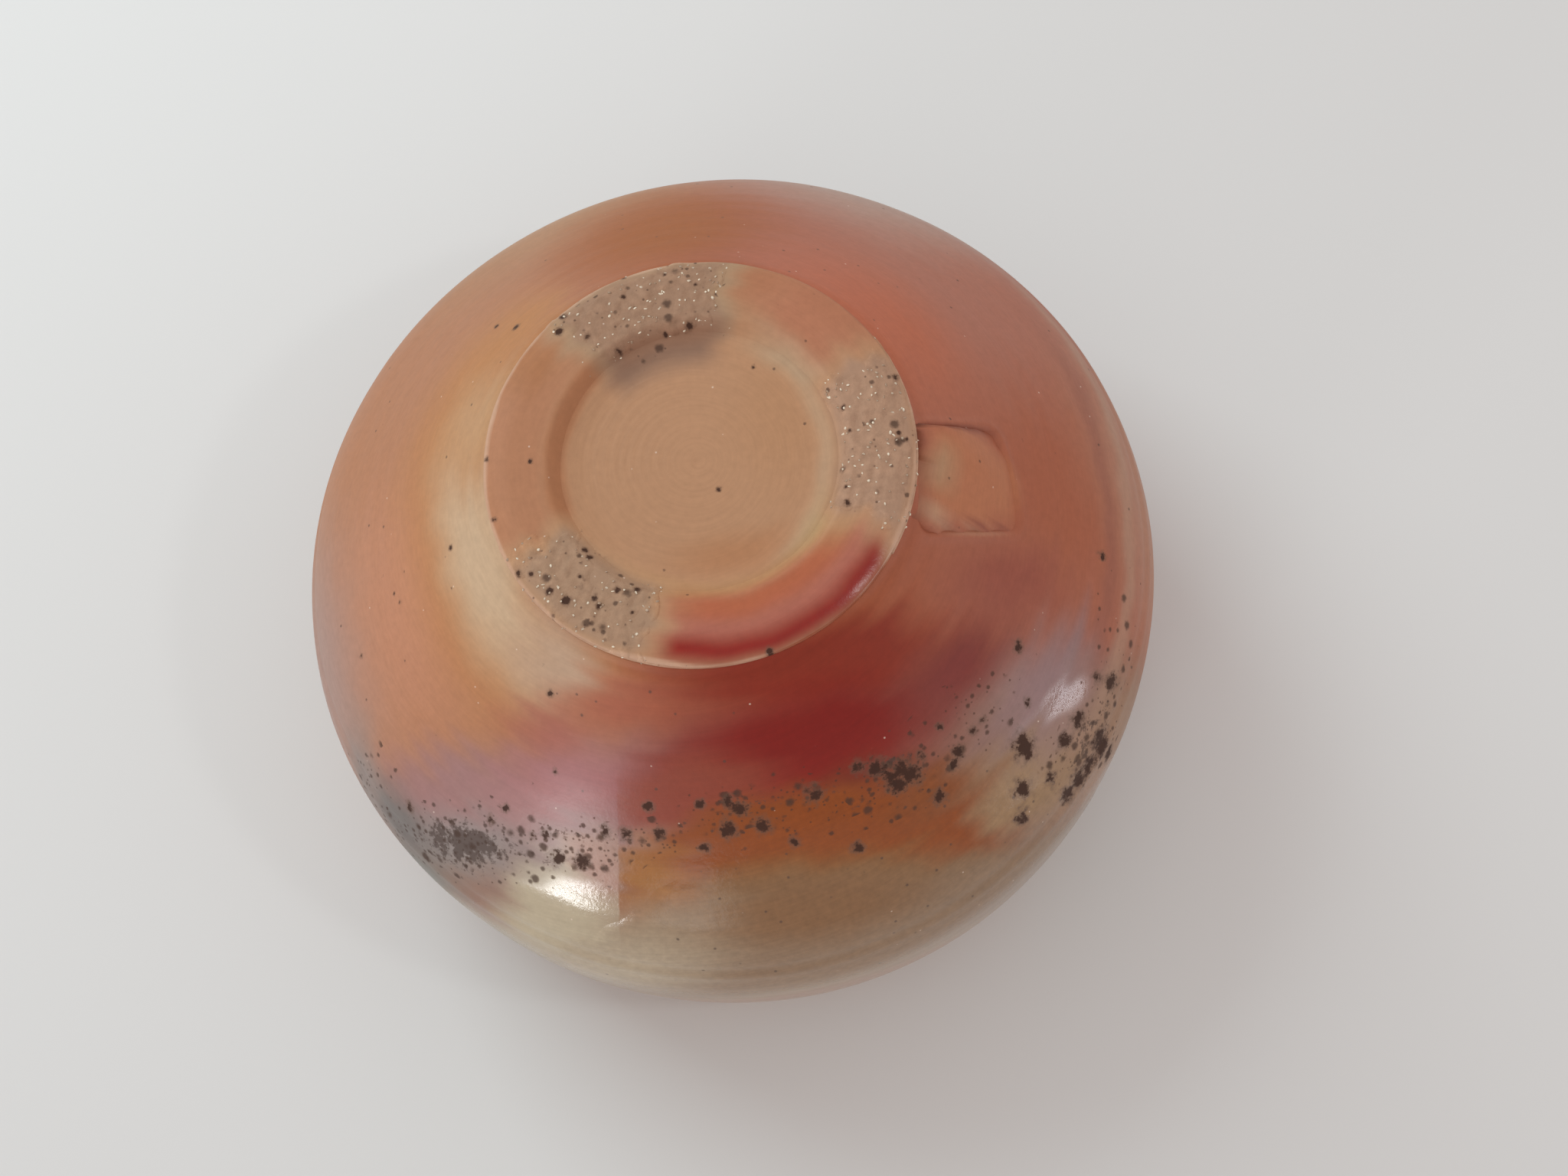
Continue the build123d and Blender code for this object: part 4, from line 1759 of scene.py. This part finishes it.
@dataclass(frozen=True)
class Camera:
    """Camera at the photograph's viewing angle.

    Attributes:
        place: Where it stands.
        right: Way to the right of its picture.
        up: Way up in its picture.
        lens: Focal length, in millimetres.
        sensor: Width of its sensor, in millimetres.
    """

    place: tuple[float, float, float] = (0.00702, -0.10344, 0.32266)
    right: tuple[float, float, float] = (0.97834, -0.19577, -0.06726)
    up: tuple[float, float, float] = (0.20701, 0.92526, 0.31788)
    lens: float = 49.22
    sensor: float = 36.0

    def build(self) -> None:
        """Sets it up as the scene's camera."""
        data = bpy.data.cameras.new("camera")
        data.lens = self.lens
        data.sensor_width = self.sensor
        data.clip_start = 0.01
        camera = added("camera", data)
        right, up = Vector(self.right).normalized(), Vector(self.up).normalized()
        turn = Matrix((right, up, right.cross(up))).transposed()
        camera.matrix_world = Matrix.Translation(self.place) @ turn.to_4x4()
        bpy.context.scene.camera = camera


@dataclass(frozen=True)
class SoftLight:
    """One soft light.

    Attributes:
        name: Its name.
        place: Where it stands.
        width: Its width.
        height: Its height.
        power: Its power, in watts.
        tint: Its colour, linear.
    """

    name: str
    place: tuple[float, float, float]
    width: float
    height: float
    power: float
    tint: tuple[float, float, float] = (1.0, 1.0, 1.0)

    def build(self) -> None:
        """Hangs it, turned to the bowl."""
        data = bpy.data.lights.new(self.name, "AREA")
        data.shape = "RECTANGLE"
        data.size, data.size_y = self.width, self.height
        data.energy = self.power
        data.color = self.tint
        light = added(self.name, data)
        light.location = self.place
        way = Vector((0.0, 0.0, AIM_HEIGHT)) - Vector(self.place)
        light.rotation_euler = way.to_track_quat("-Z", "Y").to_euler()


@dataclass(frozen=True)
class Studio:
    """Pale floor, soft light and the room's own light.

    Attributes:
        floor: Colour of the floor, linear.
        room: Colour of the room's light, linear.
        strength: Strength of the room's light.
        lights: The soft lights.
        half: Half the floor's width.
    """

    floor: tuple[float, float, float]
    room: tuple[float, float, float]
    strength: float
    lights: tuple[SoftLight, ...]
    half: float = 3.0

    def build(self) -> None:
        """Sets up the floor, the lights and the world."""
        mesh = bpy.data.meshes.new("floor")
        corners = [(x * self.half, y * self.half, 0.0) for x, y in ((-1, -1), (1, -1), (1, 1), (-1, 1))]
        mesh.from_pydata(corners, [], [(0, 1, 2, 3)])
        floor = added("floor", mesh)
        shader = Shader("pale_floor")
        shader.surface.inputs["Base Color"].default_value = (*self.floor, 1.0)
        shader.surface.inputs["Roughness"].default_value = 0.9
        shader.surface.inputs["Specular IOR Level"].default_value = 0.2
        mesh.materials.append(shader.material)
        world = bpy.data.worlds.new("room")
        world.use_nodes = True
        back = world.node_tree.nodes["Background"]
        back.inputs["Color"].default_value = (*self.room, 1.0)
        back.inputs["Strength"].default_value = self.strength
        bpy.context.scene.world = world
        bpy.context.scene.view_settings.view_transform = "Standard"
        for light in self.lights:
            light.build()


def quartz_material() -> bpy.types.Material:
    """Builds the finish of the quartz grains, which vary from white to amber.

    Returns:
        The material.
    """
    shader = Shader("quartz")
    shade = shader.step(shader.noise(1.4, 1.0), 0.38, 0.62)
    white, amber = (0.78, 0.70, 0.56), (0.36, 0.25, 0.17)
    shader.feed(shader.surface.inputs["Base Color"], shader.mix(shade, white, amber))
    shader.surface.inputs["Roughness"].default_value = 0.25
    return shader.material


def low_place(azimuth: float, elevation: float) -> tuple[float, float, float]:
    """Place of a low light, as the belly sees it.

    Args:
        azimuth: Its direction, in degrees.
        elevation: Its height above the horizon, in degrees.

    Returns:
        The place, past the floor's edge.
    """
    belly_reach = 0.05
    turn = radians(azimuth)
    climb = (LOW_REACH - belly_reach) * tan(radians(elevation))
    return LOW_REACH * cos(turn), LOW_REACH * sin(turn), AIM_HEIGHT + climb


def main() -> None:
    """Builds the bowl, its camera and its light."""
    logging.basicConfig(level=logging.INFO, format="%(name)s %(message)s")
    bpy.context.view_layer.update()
    slip_low, slip_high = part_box("slip_coat")
    ring_low, ring_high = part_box("foot_ring")
    profile = BowlProfile(belly_radius=slip_high.x, slip_low=slip_low.z, base_radius=ring_high.x)
    ring_profile = RingProfile(radius=ring_high.x, base=ring_low.z, top=ring_high.z)
    forms = TurnedForm()
    stamp = StampPlace()
    wall = ThrownWall(profile=profile, stamp=stamp)
    clay = Finish("bare_clay", mottle=0.1, streaks=0.09, dark_rate=0.06).material()
    ring_clay = Finish("flashed_ring_clay", streaks=0.07, dark_rate=0.06).material()
    wad = Finish(
        "wad_clay", mottle=0.3, streaks=0.0, rough_matt=0.8, grain=0.07, dark_rate=0.3, pale_rate=0.2
    ).material()
    slip = Finish("flashed_slip", streaks=0.09, line=True).material()
    ash = Finish("melted_ash", mottle=0.24, streaks=0.12, dark_rate=0.45, line=True).material()
    Bowl(profile, wall, forms).build(clay, slip, ash)
    scars = (
        WadScar("wad_scar_far", radians(98.0), radians(52.0), 17.6 * MM, 26.6 * MM, 21),
        WadScar("wad_scar_right", radians(-7.5), radians(55.0), 17.4 * MM, 26.7 * MM, 31),
        WadScar("wad_scar_near", radians(-139.0), radians(46.0), 17.8 * MM, 26.6 * MM, 41),
    )
    FootRing(ring_profile, profile, forms, scars).build(ring_clay, wad, quartz_material())
    Camera().build()
    lights = (
        SoftLight("key", (-0.25, 0.34, 0.42), 0.34, 0.34, 1.42, (0.87, 1.0, 1.02)),
        SoftLight("left_window", low_place(-137.2, 5.8), 1.1, 0.5, 42.0),
        SoftLight("left_glow", low_place(-153.0, 5.2), 2.88, 0.96, 9.5, (0.93, 0.94, 1.0)),
        SoftLight("front_window", low_place(-112.0, 9.3), 0.96, 0.96, 3.2),
        SoftLight("right_window", low_place(-29.6, 2.5), 2.08, 0.32, 19.0, (0.93, 0.94, 1.0)),
        SoftLight("high_lamp", (0.33, -0.19, 0.55), 0.05, 0.05, 0.24),
    )
    Studio(floor=(0.71, 0.73, 0.735), room=(1.0, 0.90, 0.86), strength=0.67, lights=lights).build()


if __name__ == "__main__":
    main()
